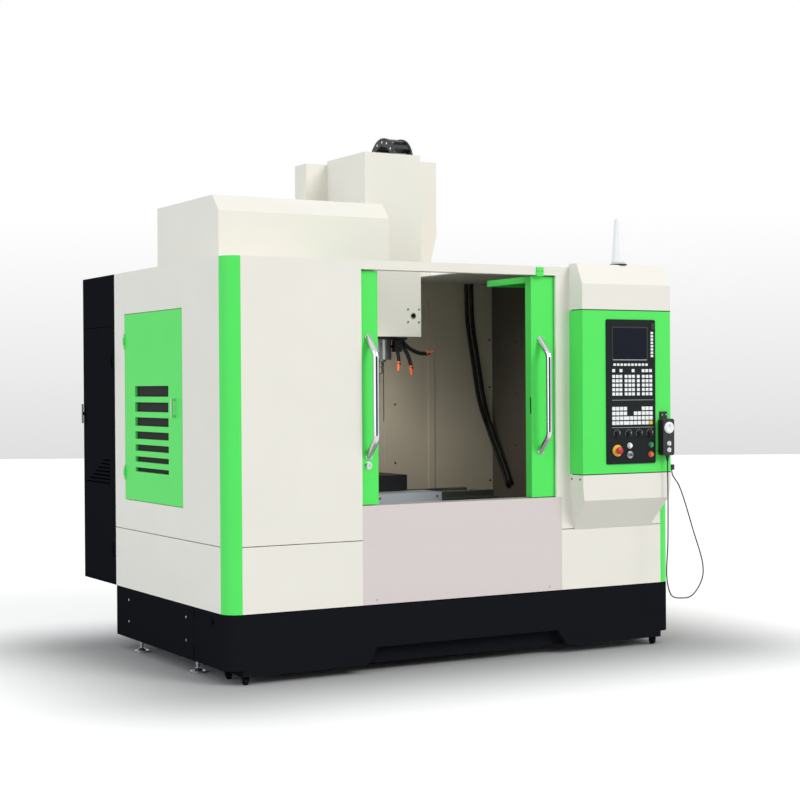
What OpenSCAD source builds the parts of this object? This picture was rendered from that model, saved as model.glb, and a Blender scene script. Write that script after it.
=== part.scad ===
// Vertical machining center: enclosure, sliding doors, three feed axes, spindle and operator console.
// Sizes in millimetres. X runs to the right from the left side, Y to the back from the front panels,
// Z up from the floor. The whole part is then moved so that its box is centred on the origin.

/* [Enclosure] */
// Width over the two side panels
enclosure_w = 2768; // [2760:1:2860]
// Depth of the side panels, from the front panels to the rear panels
side_d = 1562; // [1556:1:1640]
// Height of the enclosure's top edge
wall_top = 2130; // [2120:1:2160]
// Height where the panels stand on the black base
base_top = 355; // [340:1:370]
// Height of the seam between the upper and the lower panels
seam_z = 688; // [600:1:760]
// Width of the seam's groove
seam_w = 4; // [2:0.5:6]
// Thickness of a folded panel
panel_t = 15; // [12:0.5:16]
// Outer radius of the green corner strips
corner_r = 82; // [60:1:110]
// Thickness of plain sheet metal
sheet_t = 3; // [2:0.5:4]
// Thickness of the roof panels
roof_t = 6; // [4:1:8]

/* [Base] */
// Height of the base casting above the floor
bed_clear = 60; // [50:1:70]
// Half width of the base casting
bed_half = 480; // [460:1:500]
// Half width of the base casting's top
bed_top_half = 380; // [370:1:400]
// Front end of the base casting
bed_front = 400; // [390:1:420]
// Height of the base casting's top, where the rails lie
bed_top = 614; // [610:1:616]
// Height of the skirts above the floor
skirt_clear = 77; // [70:1:90]
// Width of the skirts' flanges
skirt_w = 90; // [85:1:120]
// Depth of the coolant tank
tank_d = 285; // [240:1:330]
// Height of the coolant tank above the floor
tank_clear = 45; // [40:1:60]
// Height of the toe recess in the tank
toe_h = 90; // [60:1:120]
// Width of the toe recess at its bottom
toe_w = 1262; // [1000:1:1400]
// How much shorter each end of the toe recess is at its top
toe_slope = 65; // [30:1:100]
// Depth of the toe recess
toe_d = 60; // [40:1:90]

/* [Door opening] */
// Left edge of the front opening
opening_x = 758; // [740:1:775]
// Distance of the opening's right edge from the right side
opening_side = 798; // [790:1:815]
// How far the apron passes the opening's right edge
apron_lap = 33; // [28:1:53]
// Height of the sill
sill_z = 866; // [856:1:868]
// Depth of the sill behind the apron
sill_d = 95; // [80:1:110]
// Height of the header beam's front
header_h = 48; // [40:1:56]
// How far the header beam's front passes the opening's right edge
header_lap = 90; // [78:1:98]

/* [Sliding doors] */
// Width of each door
door_w = 640; // [630:1:660]
// Thickness of a door's front
door_t = 56; // [50:1:58]
// Gap between the front panels and the doors
door_gap = 5; // [4:0.5:8]
// Place of the left door's free edge at rest, from the opening's left edge
left_shown = 106; // [92:1:122]
// Place of the right door's free edge at rest, from the opening's right edge
right_shown = 150; // [140:1:160]
// Depth of a door's roof return
return_d = 440; // [400:1:460]
// Thickness of a door's roof return
return_t = 34; // [24:1:36]
// Gap between the doors and the sill
door_lift = 4; // [3:0.5:6]
// Width of a door's window
window_w = 330; // [250:1:360]
// Height of a door's window
window_h = 620; // [400:1:700]
// Strip between the window and the handle's place
window_side = 60; // [50:1:70]
// Thickness of the window's pane
pane_t = 8; // [6:0.5:10]
// Depth of the step that the pane lies on
pane_step = 12; // [8:1:16]
// Gap round the pane
pane_gap = 0.2; // [0.1:0.05:0.3]
// Length of a door handle
handle_l = 608; // [560:1:660]
// Diameter of a door handle's tube
handle_d = 34; // [26:1:36]
// Distance of the tube's middle from the door
handle_reach = 85; // [70:1:95]
// Radius of the bends above and below the grip
handle_bend = 60; // [40:1:80]
// Distance of the handle from the door's free edge
handle_inset = 58; // [50:1:65]

/* [Service door] */
// Front edge of the service door in the left side
hatch_y = 562; // [540:1:580]
// Width of the service door
hatch_w = 838; // [800:1:860]
// Bottom of the service door
hatch_z = 857; // [840:1:880]
// Height of the service door
hatch_h = 1035; // [1000:1:1060]
// Gap round a hinged door
hatch_gap = 3; // [2:0.5:4]
// Top of the first louvre slot above the service door's bottom
louvre_top = 633; // [610:1:650]
// Number of louvre slots
louvre_n = 7; // [5:1:8]
// Length of a louvre slot
louvre_l = 490; // [400:1:560]
// Height of the first louvre slot
louvre_h = 58; // [48:1:60]
// How much lower each next slot is
louvre_step = 5.7; // [4:0.1:6]
// Strip between two slots
louvre_gap = 31; // [26:1:36]

/* [Hinges] */
// Reach of the pull handles on the left side
pull_reach = 26; // [22:1:34]
// Diameter of a hinge's knuckles
knuckle_d = 12; // [10:0.5:14]
// Diameter of a hinge's pin
hinge_pin_d = 6; // [5:0.5:8]
// Length of a hinge's middle knuckle
knuckle_l = 40; // [30:1:60]
// Radial play of a pin, shaft or stem in its hole
run_play = 0.05; // [0.02:0.01:0.1]
// Gap between flat faces that slide past each other
slide_gap = 0.3; // [0.2:0.05:0.4]

/* [Axes] */
// Spindle axis, from the left side
spindle_x = 1364; // [1360:1:1370]
// Spindle axis, from the front panels
spindle_y = 915; // [910:1:920]
// Length of the table
table_l = 1000; // [960:1:1010]
// Width of the table
table_w = 500; // [480:1:510]
// Thickness of the table
table_t = 90; // [80:1:92]
// Height of the table's top
table_top = 974; // [970:1:980]
// How far left of the spindle the table's middle rests
table_home_x = 400; // [390:1:402]
// How far behind the spindle the table's middle rests
table_home_y = 102; // [90:1:110]
// Width of a T-slot
slot_w = 18; // [14:1:18]
// Distance between T-slots
slot_pitch = 80; // [75:1:85]
// Number of T-slots
slot_n = 5; // [3:2:5]
// Width of a guide rail
rail_w = 45; // [35:1:45]
// Height of a guide rail
rail_h = 38; // [34:1:40]
// Height of a carriage over its rail's seat
carriage_h = 60; // [58:1:62]
// Width of a carriage
carriage_w = 100; // [90:1:104]
// Length of a carriage
carriage_l = 140; // [120:1:150]
// Diameter of the ball screws
screw_d = 40; // [32:1:44]
// Length of the saddle
saddle_l = 1500; // [1480:1:1520]
// Width of the saddle
saddle_w = 420; // [410:1:430]
// Width of the saddle's front way cover
cover_w = 462; // [440:1:480]
// How far the way cover's front lies ahead of the table's middle
cover_reach = 417; // [405:1:425]

/* [Head] */
// Width of the head cover
head_w = 362; // [350:1:366]
// Distance of the head cover's front from the spindle axis
head_front = 180; // [170:1:190]
// Depth of the head cover
head_d = 461; // [455:1:470]
// Bottom of the head cover
head_bottom = 1764; // [1755:1:1775]
// Height of the head cover
head_h = 1039; // [1025:1:1055]
// Width of the head cover's rear part
head_rear_w = 642; // [630:1:646]
// Depth of the head cover's rear part
head_rear_d = 141; // [130:1:150]
// Bottom of the head cover's rear part
head_rear_z = 2386; // [2370:1:2400]
// Height of the head cover's rear part
head_rear_h = 395; // [380:1:410]
// Diameter of the spindle's housing
quill_d = 150; // [140:1:160]
// Length of the spindle's housing below the head
quill_l = 130; // [120:1:140]
// Diameter of the spindle in its housing
spindle_d = 88; // [80:1:96]
// Length of the tool below the spindle
tool_l = 124; // [110:1:140]
// Diameter of the coolant nozzles' jointed hoses
nozzle_d = 16; // [14:1:18]
// Outer radius of the cable chain's bend
chain_r = 150; // [140:1:158]
// Width of the cable chain
chain_w = 124; // [100:1:130]

/* [Column] */
// Half width of the column
column_half = 320; // [310:1:322]
// Front of the column
column_y = 1520; // [1516:1:1526]
// Depth of the column at its foot
column_d = 460; // [440:1:480]
// Top of the column
column_top = 2490; // [2480:1:2500]

/* [Magazine] */
// Left side of the magazine hood
hood_x = 187; // [180:1:200]
// Width of the magazine hood
hood_w = 1023; // [1010:1:1035]
// Front of the magazine hood
hood_y = 507; // [500:1:520]
// Depth of the magazine hood
hood_d = 857; // [840:1:865]
// Height of the magazine hood
hood_h = 364; // [350:1:375]
// Depth of the chamfer on the hood's front edge
hood_cut_d = 79; // [60:1:90]
// Height of the chamfer on the hood's front edge
hood_cut_h = 88; // [70:1:100]
// Middle of the tool magazine, from the left side
magazine_x = 690; // [685:1:695]
// Middle of the tool magazine, from the front panels
magazine_y = 920; // [910:1:930]
// Radius of the ring of tool pots
pot_ring_r = 290; // [280:1:300]
// Number of tool pots
pot_n = 16; // [12:2:18]
// Diameter of the magazine's shaft
magazine_shaft_d = 60; // [50:1:70]

/* [Cabinet] */
// Width of the electrical cabinet
cabinet_w = 560; // [520:1:620]
// Depth of the electrical cabinet
cabinet_d = 538; // [520:1:560]
// Top of the electrical cabinet's door
cabinet_door_top = 1833; // [1800:1:1850]
// Edge left round the cabinet's door
cabinet_rim = 12; // [10:1:16]
// Thickness of the hinged doors
leaf_t = 15; // [12:1:16]

/* [Console] */
// Distance of the console's right side from the right side
console_side = 102; // [88:1:102]
// Width of the console
console_w = 606; // [590:1:620]
// Depth of the console in front of the panels
console_d = 122; // [110:1:135]
// Bottom of the green box
console_z = 990; // [985:1:1000]
// Height of the green box
console_h = 903; // [890:1:910]
// Height of the cream hood over the box
cap_h = 254; // [245:1:260]
// Depth of the slope on the hood's front
cap_cut_d = 52; // [40:1:60]
// Height of the slope on the hood's front
cap_cut_h = 111; // [90:1:120]
// Height of the cream part under the box
chin_h = 308; // [300:1:320]
// Height of its straight front
chin_front_h = 142; // [120:1:160]
// How far its sides taper in
chin_taper = 28; // [20:1:40]
// Left edge of the control panel on the console
panel_x = 157; // [140:1:170]
// Width of the control panel
panel_w = 338; // [330:1:350]
// Bottom of the control panel on the green box
panel_z = 53; // [45:1:60]
// Height of the control panel
panel_h = 799; // [790:1:805]
// Thickness of the control panel
plate_t = 6; // [5:0.5:8]
// How far the panel covers the edge of its opening
panel_lap = 10; // [8:1:14]

/* [Pendant] */
// Middle of the pendant on the console
pendant_x = 551; // [545:1:556]
// Bottom of the pendant above the floor
pendant_z = 1085; // [1070:1:1100]
// Width of the pendant
pendant_w = 78; // [72:1:84]
// Height of the pendant
pendant_h = 205; // [198:1:215]
// Thickness of the pendant
pendant_t = 45; // [40:1:50]
// Gap behind the pendant, taken by its bracket
bracket_t = 8; // [6:1:10]
// Diameter of the handwheel
wheel_d = 64; // [58:1:68]
// Height of the handwheel over the pendant
wheel_h = 22; // [18:1:26]

/* [Hidden] */
$fn = 48;

// Origin: middle of the box on the floor, without the cord
rear_y = side_d + cabinet_d;
front_y = -console_d - bracket_t - pendant_t - wheel_h;
origin_x = (enclosure_w - pull_reach) / 2;
origin_y = (rear_y + front_y) / 2;

// Doors
opening_w = enclosure_w - opening_x - opening_side;
apron_w = opening_w + apron_lap;
header_w = opening_w + header_lap;
left_edge = opening_x + left_shown;
right_edge = opening_x + opening_w - right_shown;
door_y = panel_t + door_gap;
door_top = wall_top - 54;
door_bottom = sill_z + door_lift;
meet_x = (left_edge + right_edge) / 2;
track_y = 70;
track_w = 20;
track_z = wall_top - 46;
track_t = 6;
roller_d = 24;
hanger_w = 60;
hanger_t = 7.5;
track_x = left_edge - door_w - 60;
track_l = right_edge + door_w + 160 - track_x;

// Heights of the axes' stack
table_bottom = table_top - table_t;
saddle_top = table_bottom - carriage_h;
saddle_bottom = bed_top + carriage_h;
saddle_x = spindle_x - saddle_l / 2;
table_x = spindle_x - table_home_x;
table_y = spindle_y + table_home_y;
y_rail_x = 300;
x_rail_y = 150;
z_rail_x = 210;
head_back = column_y - carriage_h;
head_y = spindle_y - head_front;
arm_half = 150;
head_top = head_bottom + head_h;
quill_end = head_bottom - quill_l;

// Walls of the work area, mirrored about the spindle
wall_half = 1123;
wall_back = 1440;
wall_inner_half = 330;
wall_z = 640;
wall_h = 1380;
wall_front = door_y + door_t + 6;
seat_gap = 0.2;
pan_edge_z = 690;
pan_lap = 16;
trough_z = 540;

// Console
console_x = enclosure_w - console_side - console_w;
console_y = -console_d;
panel_y = console_y - plate_t;
screw_z = bed_top + 30;
x_screw_z = saddle_top - 14;
z_screw_y = column_y - 30;

// Places of the controls on the panel, from its left and bottom edges
knob_x = [72, 151, 225, 298];
knob_z = 167;
stop_pos = [71, 75];
reset_pos = [156, 101];
key_pos = [158, 50];
start_pos = [303, 102];
hold_pos = [303, 49];
stem_d = 16;
knob_shaft_d = 6;

// Pendant
pendant_mid = console_x + pendant_x;
pendant_back = console_y - bracket_t;
pendant_front = pendant_back - pendant_t;
wheel_z = pendant_z + 155;
selector_z = [pendant_z + 67, pendant_z + 31];
wheel_shaft_d = 10;
relief_l = 35;
relief_x = 8;
cord_d = 7;

// The cord hangs in a loop from the pendant's strain relief and comes up to the gland
gland_d = 26;
gland_l = 30;
gland_z = console_z + 10;
cord_out = [pendant_mid + relief_x, pendant_back - pendant_t / 2, pendant_z - relief_l];
cord_in = [console_x + console_w + 20, console_y + gland_d / 2 + 4, gland_z];
cord_low = 277;
cord_side = 226;
cord_knots = [
  cord_out, cord_out - [0, 0, 20], cord_out - [0, 0, 40], cord_out - [-2, 0, 190],
  [cord_out.x, cord_out.y, cord_low + 330],
  [cord_out.x - 6, cord_out.y + 2, cord_low + 110], [cord_out.x + 30, cord_out.y + 5, cord_low + 18],
  [cord_out.x + 100, cord_out.y + 10, cord_low], [cord_out.x + 180, cord_out.y + 14, cord_low + 8],
  [cord_in.x + cord_side - 32, cord_in.y - 24, cord_low + 92],
  [cord_in.x + cord_side - 20, cord_in.y - 21, cord_low + 170],
  [cord_in.x + 141, cord_in.y - 14, cord_low + 378], [cord_in.x + 48, cord_in.y - 5, cord_in.z - 90],
  cord_in - [0, 0, 30], cord_in - [0, 0, 15], cord_in
];
// Two hoses side by side down the back wall, then along the right wall
hose_d = 26;
hose_pitch = 38;
hose_x = spindle_x + wall_half - 26;
hose_y = wall_back - 26;
hose_wall = spindle_x + wall_half - sheet_t;
hose_knots = [
  [hose_x - 147, hose_y, wall_top - roof_t], [hose_x - 147, hose_y, wall_top - roof_t - 20],
  [hose_x - 147, hose_y, 2060], [hose_x - 139, hose_y, 1880],
  [hose_x - 102, hose_y - 2, 1640], [hose_x - 65, hose_y - 10, 1400], [hose_x - 30, hose_y - 35, 1230],
  [hose_x - 10, hose_y - 120, 1050], [hose_x, hose_y - 175, 940], [hose_x, hose_y - 200, 892],
  [hose_wall - 16, hose_y - 202, 872], [hose_wall - 8, hose_y - 202, 872], [hose_wall, hose_y - 202, 872]
];
// Where the second hose lies beside the first, on the back wall, in the corner and on the right wall
hose_side = hose_pitch * [[-1, 0, 0], [-0.8, 0.1, -0.5], [0, 0.85, -0.5]];

// Shared shapes

module machine() {
  translate([-origin_x, -origin_y, 0]) children();
}

module slab(low, high) {
  translate(low) cube(high - low);
}

// An outline drawn in Y and Z, pulled along X
module along_x(x, length) {
  translate([x, 0, 0]) rotate([90, 0, 90]) linear_extrude(length) children();
}

// An outline drawn in X and Z, pulled towards the back
module along_y(y, length) {
  translate([0, y + length, 0]) rotate([90, 0, 0]) linear_extrude(length) children();
}

module rod_y(x, y, z, d, length) {
  translate([x, y, z]) rotate([-90, 0, 0]) cylinder(d = d, h = length);
}

module rod_x(x, y, z, d, length) {
  translate([x, y, z]) rotate([0, 90, 0]) cylinder(d = d, h = length);
}

// A sheet folded into a shallow tray: the open side is named by a direction
module folded(low, high, open) {
  t = sheet_t;
  difference() {
    slab(low, high);
    slab(low + [open.x < 0 ? -1 : t, open.y < 0 ? -1 : t, open.z < 0 ? -1 : t],
      high - [open.x > 0 ? -1 : t, open.y > 0 ? -1 : t, open.z > 0 ? -1 : t]);
  }
}

module rounded_outline(w, h, r) {
  translate([r, 0]) square([w - 2 * r, h]);
  translate([0, r]) square([w, h - 2 * r]);
  for (x = [r, w - r], y = [r, h - r]) translate([x, y]) circle(r);
}

// Plan of a side with its rounded front corner
module corner_plan(r, w, d) {
  translate([0, r]) square([w, d - r]);
  if (w > r) translate([r, 0]) square([w - r, r + 0.01]);
  intersection() {
    translate([r, r]) circle(r, $fn = 96);
    square(r);
  }
}

module both_sides() {
  children();
  translate([enclosure_w, 0, 0]) mirror([1, 0, 0]) children();
}

module about_spindle() {
  children();
  translate([2 * spindle_x, 0, 0]) mirror([1, 0, 0]) children();
}

// Rings of points swept along a route, for cords and hoses
function unit(v) = v / norm(v);
function tangent(p, i) = unit(p[min(i + 1, len(p) - 1)] - p[max(i - 1, 0)]);
function across(t, up) = unit(cross(t, up));
function ring(p, i, d, n, up) =
  let (t = tangent(p, i), a = across(t, up), b = cross(t, a))
  [for (k = [0 : n - 1]) p[i] + d / 2 * (cos(360 * k / n) * a + sin(360 * k / n) * b)];

// Points along a smooth curve through the knots
function curve_at(k, i, u) =
  let (a = k[max(i - 1, 0)], b = k[i], c = k[i + 1], e = k[min(i + 2, len(k) - 1)])
  b + 0.5 * u * ((c - a) + u * (2 * a - 5 * b + 4 * c - e + u * (3 * (b - c) + e - a)));
function curve(k, steps) = concat(
  [for (i = [0 : len(k) - 2], j = [0 : steps - 1]) curve_at(k, i, j / steps)], [k[len(k) - 1]]);

module swept_tube(route, d, up, n = 10) {
  rings = len(route);
  points = [for (i = [0 : rings - 1]) each ring(route, i, d, n, up)];
  sides = [for (i = [0 : rings - 2], k = [0 : n - 1])
    [i * n + k, i * n + (k + 1) % n, (i + 1) * n + (k + 1) % n, (i + 1) * n + k]];
  first = [for (k = [n - 1 : -1 : 0]) k];
  last = [for (k = [0 : n - 1]) (rings - 1) * n + k];
  polyhedron(points, concat([first, last], sides));
}

// A guide rail's carriage: a block that straddles the rail, drawn with the rail along X and its seat at z = 0
module carriage() {
  difference() {
    translate([-carriage_l / 2, -carriage_w / 2, 8]) cube([carriage_l, carriage_w, carriage_h - 8]);
    translate([-carriage_l, -rail_w / 2 - slide_gap, 0])
      cube([2 * carriage_l, rail_w + 2 * slide_gap, rail_h + slide_gap]);
  }
}

// A servo motor with its flange, drawn along X with the flange at x = 0 and the body to the left
module servo(size, length) {
  flange_t = 15;
  edge = 10;
  translate([-flange_t, -size / 2, -size / 2]) cube([flange_t, size, size]);
  translate([-length, -size / 2 + edge, -size / 2 + edge])
    cube([length, size - 2 * edge, size - 2 * edge]);
  translate([-length - 40, 0, 0]) rotate([0, 90, 0]) cylinder(d = size * 0.7, h = 41);
}

// Hinge: the fixed side has the pin and the outer knuckles, the moving side the middle one. Axis along Z.
module fixed_hinge() {
  for (z = [-knuckle_l - slide_gap, knuckle_l / 2 + slide_gap])
    translate([0, 0, z]) cylinder(d = knuckle_d, h = knuckle_l / 2);
  translate([0, 0, -knuckle_l]) cylinder(d = hinge_pin_d, h = 2 * knuckle_l);
}

module moving_knuckle() {
  difference() {
    cylinder(d = knuckle_d, h = knuckle_l, center = true);
    cylinder(d = hinge_pin_d + 2 * run_play, h = knuckle_l + 2, center = true);
  }
}

// Castings and feet

module base_casting() {
  wall = 40;
  rows = 5;
  row_l = (column_y + column_d - bed_front - wall) / (rows + 2);
  col_w = (2 * bed_half - wall) / 3;
  low_top = bed_top - 190 - wall;
  color("dimgray") {
    difference() {
      union() {
        along_y(bed_front, column_y - bed_front) translate([spindle_x, 0])
          polygon([[-bed_half, bed_clear], [bed_half, bed_clear], [bed_half, bed_top - 190],
            [bed_top_half, bed_top], [-bed_top_half, bed_top], [-bed_half, bed_top - 190]]);
        slab([spindle_x - bed_half, column_y, bed_clear],
          [spindle_x + bed_half, column_y + column_d, bed_top]);
      }
      // Pockets between the ribs, open below
      for (i = [0 : rows + 1], k = [0 : 2])
        slab([spindle_x - bed_half + wall + k * col_w, bed_front + wall + i * row_l, bed_clear - 1],
          [spindle_x - bed_half + (k + 1) * col_w, bed_front + (i + 1) * row_l,
            k == 1 ? bed_top - wall : low_top]);
    }
    for (p = feet_under_bed()) translate([p.x, p.y, bed_clear]) cylinder(d = 90, h = low_top - bed_clear);
  }
}

module column() {
  wall = 45;
  pocket_w = (2 * column_half - 3 * wall) / 2;
  pocket_h = 265;
  color("dimgray") difference() {
    along_x(spindle_x - column_half, 2 * column_half)
      polygon([[column_y, bed_top], [column_y + column_d, bed_top], [column_y + column_d, bed_top + 290],
        [column_y + 300, column_top], [column_y, column_top]]);
    for (i = [0 : 5], x = [spindle_x - wall / 2 - pocket_w, spindle_x + wall / 2])
      slab([x, column_y + 70, bed_top + wall + i * (pocket_h + wall)],
        [x + pocket_w, column_y + column_d + 1, bed_top + wall + i * (pocket_h + wall) + pocket_h]);
  }
}

function feet_under_bed() = [for (x = [-bed_half + 60, bed_half - 60],
    y = [bed_front + 70, 1150, column_y + column_d - 70])
  [spindle_x + x, y]];
function feet_under_skirts() = [for (x = [skirt_w / 2 + 8, enclosure_w - skirt_w / 2 - 8],
    y = [506, 1306]) [x, y]];

module foot(top) {
  cylinder(d = 80, h = 12);
  translate([0, 0, 12]) cylinder(d1 = 60, d2 = 28, h = 14);
  cylinder(d = 20, h = top);
  translate([0, 0, top - 14]) cylinder(d = 36, h = 14, $fn = 6);
}

module leveling_feet() {
  color("black") {
    for (p = feet_under_bed()) translate([p.x, p.y, 0]) foot(bed_clear);
    for (p = feet_under_skirts()) translate([p.x, p.y, 0]) foot(skirt_clear);
  }
}

module axis_drives() {
  block_half = 60;
  block_l = 48;
  motor = 130;
  screw_foot = 1190;
  color("dimgray") {
    // Guide rails of the Y axis on the bed and of the Z axis on the column
    about_spindle() {
      slab([spindle_x + y_rail_x - rail_w / 2, bed_front + 10, bed_top],
        [spindle_x + y_rail_x + rail_w / 2, wall_back, bed_top + rail_h]);
      slab([spindle_x + z_rail_x - rail_w / 2, column_y - rail_h, screw_foot + 60],
        [spindle_x + z_rail_x + rail_w / 2, column_y, column_top - 50]);
    }
    // Y axis: bearing blocks on the bed, screw between them, motor ahead of the bed
    for (y = [bed_front + 4, wall_back - block_l])
      slab([spindle_x - block_half, y, bed_top], [spindle_x + block_half, y + block_l, saddle_bottom - 2]);
    rod_y(spindle_x, bed_front - 10, screw_z, screw_d, wall_back - bed_front - 10);
    translate([spindle_x, bed_front, screw_z]) rotate([0, 0, 90]) servo(motor, 160);
    // Z axis: bearing blocks on the column, motor on its top
    for (z = [screw_foot, column_top - block_l])
      slab([spindle_x - block_half, head_back + 2, z], [spindle_x + block_half, column_y, z + block_l]);
    translate([spindle_x, z_screw_y, screw_foot + 5])
      cylinder(d = screw_d, h = column_top - screw_foot);
    translate([spindle_x, z_screw_y, column_top]) rotate([0, 90, 0]) servo(motor + 20, 180);
  }
}

// Base

module side_skirts() {
  wall = 4;
  skirt_back = side_d - 7;
  joint_y = corner_r + 351;
  color("black") both_sides() {
    difference() {
      translate([0, 0, skirt_clear]) linear_extrude(base_top - skirt_clear)
        corner_plan(corner_r, skirt_w, skirt_back);
      translate([wall, wall, skirt_clear + wall]) linear_extrude(base_top - skirt_clear - 2 * wall)
        corner_plan(corner_r - wall, skirt_w, skirt_back - 2 * wall);
      translate([corner_r, -1, skirt_clear - 1]) cube([skirt_w, tank_d + 2, base_top]);
      slab([-1, joint_y - 1.5, skirt_clear - 1], [2, joint_y + 1.5, base_top + 1]);
    }
    // Hinge blocks and knob of the front flap
    for (z = [skirt_clear + 50, base_top - 35])
      slab([-6, joint_y - 14, z - 20], [1, joint_y + 14, z + 20]);
    rod_x(-12, corner_r + 105, base_top - 48, 30, 13);
    for (y = [joint_y + 90, skirt_back - 200], z = [skirt_clear + 95, skirt_clear + 215])
      rod_x(-3, y, z, 14, 4);
  }
}

module caster(x, y) {
  translate([x, y, 0]) {
    rotate([0, 90, 0]) translate([-19, 0, -10]) cylinder(d = 38, h = 20);
    translate([-16, -12, 19]) cube([6, 24, tank_clear - 19]);
    translate([10, -12, 19]) cube([6, 24, tank_clear - 19]);
    translate([-16, -14, tank_clear - 4]) cube([32, 28, 4]);
    translate([-16, 0, 19]) rotate([0, 90, 0]) cylinder(d = 10, h = 32);
  }
}

module coolant_tank() {
  x0 = corner_r + seat_gap;
  x1 = enclosure_w - corner_r - seat_gap;
  mid = opening_x + apron_w / 2 + 28;
  wall = 4;
  top = base_top - 5;
  color("black") {
    difference() {
      slab([x0, 0, tank_clear], [x1, tank_d, top]);
      slab([x0 + wall, toe_d + wall, tank_clear + wall], [x1 - wall, tank_d - wall, top - wall]);
      slab([x0 + wall, wall, tank_clear + toe_h + wall], [x1 - wall, toe_d + wall + 1, top - wall]);
      along_y(-1, toe_d + 1) polygon([[mid - toe_w / 2, tank_clear - 1], [mid + toe_w / 2, tank_clear - 1],
        [mid + toe_w / 2 - toe_slope, tank_clear + toe_h],
        [mid - toe_w / 2 + toe_slope, tank_clear + toe_h]]);
    }
    for (x = [x0 + 30, x1 - 30], y = [40, tank_d - 40]) caster(x, y);
  }
}

// Enclosure

module side_panels() {
  hinge_y = hatch_y + hatch_w + hatch_gap / 2;
  z0 = seam_z + seam_w / 2;
  rim = 25;
  color("ivory") {
    // Left side, with a frame round the service door
    difference() {
      union() {
        folded([0, corner_r, z0], [panel_t, side_d, wall_top], [1, 0, 0]);
        slab([1, hatch_y - rim, hatch_z - rim],
          [panel_t, hatch_y + hatch_w + rim, hatch_z + hatch_h + rim]);
      }
      slab([-1, hatch_y - hatch_gap, hatch_z - hatch_gap],
        [panel_t + 1, hatch_y + hatch_w + hatch_gap, hatch_z + hatch_h + hatch_gap]);
    }
    for (z = [hatch_z + 150, hatch_z + hatch_h - 150]) translate([-knuckle_d / 2, hinge_y, z]) {
      fixed_hinge();
      for (s = [-1, 1]) translate([0, 0, s * knuckle_l * 0.75 + s * slide_gap - knuckle_l / 4])
        cube([knuckle_d / 2 + 4, knuckle_d, knuckle_l / 2]);
    }
    // Right side
    folded([enclosure_w - panel_t, corner_r, z0], [enclosure_w, side_d, wall_top], [-1, 0, 0]);
  }
}

module front_panels() {
  post_x = opening_x + opening_w;
  foot_x = opening_x + apron_w;
  top_x = opening_x + header_w;
  right = enclosure_w - corner_r;
  z0 = seam_z + seam_w / 2;
  color("ivory") {
    folded([corner_r, 0, z0], [opening_x, panel_t, wall_top], [0, 1, 0]);
    difference() {
      along_y(0, panel_t) polygon([[foot_x, z0], [right, z0], [right, wall_top], [top_x, wall_top],
        [top_x, wall_top - header_h], [post_x, wall_top - header_h], [post_x, sill_z], [foot_x, sill_z]]);
      slab([top_x + sheet_t, sheet_t, z0 + sheet_t], [right - sheet_t, panel_t + 1, wall_top - sheet_t]);
    }
  }
}

module lower_guards() {
  foot_x = opening_x + apron_w;
  z1 = seam_z - seam_w / 2;
  color("ivory") {
    folded([0, corner_r, base_top], [panel_t, side_d, z1], [1, 0, 0]);
    folded([enclosure_w - panel_t, corner_r, base_top], [enclosure_w, side_d, z1], [-1, 0, 0]);
    folded([corner_r, 0, base_top], [opening_x, panel_t, z1], [0, 1, 0]);
    folded([foot_x, 0, base_top], [enclosure_w - corner_r, panel_t, z1], [0, 1, 0]);
  }
}

module corner_strips() {
  color("limegreen") both_sides() translate([0, 0, base_top]) linear_extrude(wall_top - base_top)
    intersection() {
      square(corner_r);
      translate([corner_r, corner_r]) difference() {
        circle(corner_r, $fn = 96);
        circle(corner_r - panel_t, $fn = 96);
      }
    }
}

module header_beam() {
  web_t = 6;
  rail_back = track_y + track_w;
  color("ivory") {
    slab([opening_x, 0, wall_top - header_h], [opening_x + header_w, panel_t, wall_top]);
    along_x(track_x, track_l)
      polygon([[panel_t, wall_top - roof_t], [rail_back - web_t, wall_top - roof_t],
        [rail_back - web_t, track_z + track_t], [track_y, track_z + track_t], [track_y, track_z],
        [rail_back, track_z], [rail_back, wall_top], [panel_t, wall_top]]);
  }
}

module front_apron() {
  color("lightgray") along_x(opening_x, apron_w)
    polygon([[0, base_top], [panel_t, base_top], [panel_t, base_top + sheet_t],
        [sheet_t, base_top + sheet_t],
      [sheet_t, sill_z - 8], [panel_t + sill_d, sill_z - 8], [panel_t + sill_d, sill_z], [0, sill_z]]);
}

module roof_plan(edge_x, inner) {
  polygon([[panel_t, track_y + track_w], [edge_x, track_y + track_w], [edge_x, 470], [inner, 470],
    [inner, side_d - panel_t], [panel_t, side_d - panel_t]]);
}

module rear_and_roof_panels() {
  gap = 4;
  clear = head_rear_w / 2 + 18;
  color("ivory") {
    // Rear panels beside the column, cut out over the bed
    difference() {
      for (x = [[panel_t, spindle_x - column_half - gap],
          [spindle_x + column_half + gap, enclosure_w - panel_t]])
        folded([x[0], side_d - panel_t, base_top], [x[1], side_d, wall_top - roof_t - seat_gap],
            [0, -1, 0]);
      slab([spindle_x - bed_half - gap, column_y, bed_clear],
        [spindle_x + bed_half + gap, side_d + 1, bed_top + gap]);
    }
    difference() {
      translate([0, 0, wall_top - roof_t]) linear_extrude(roof_t) roof_plan(opening_x, spindle_x - clear);
      translate([magazine_x, magazine_y, 0])
        cylinder(d = magazine_shaft_d + 2 * run_play, h = wall_top + 1);
    }
    translate([enclosure_w, 0, wall_top - roof_t]) mirror([1, 0, 0]) linear_extrude(roof_t)
      roof_plan(enclosure_w - opening_x - opening_w, enclosure_w - spindle_x - clear);
  }
}

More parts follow.
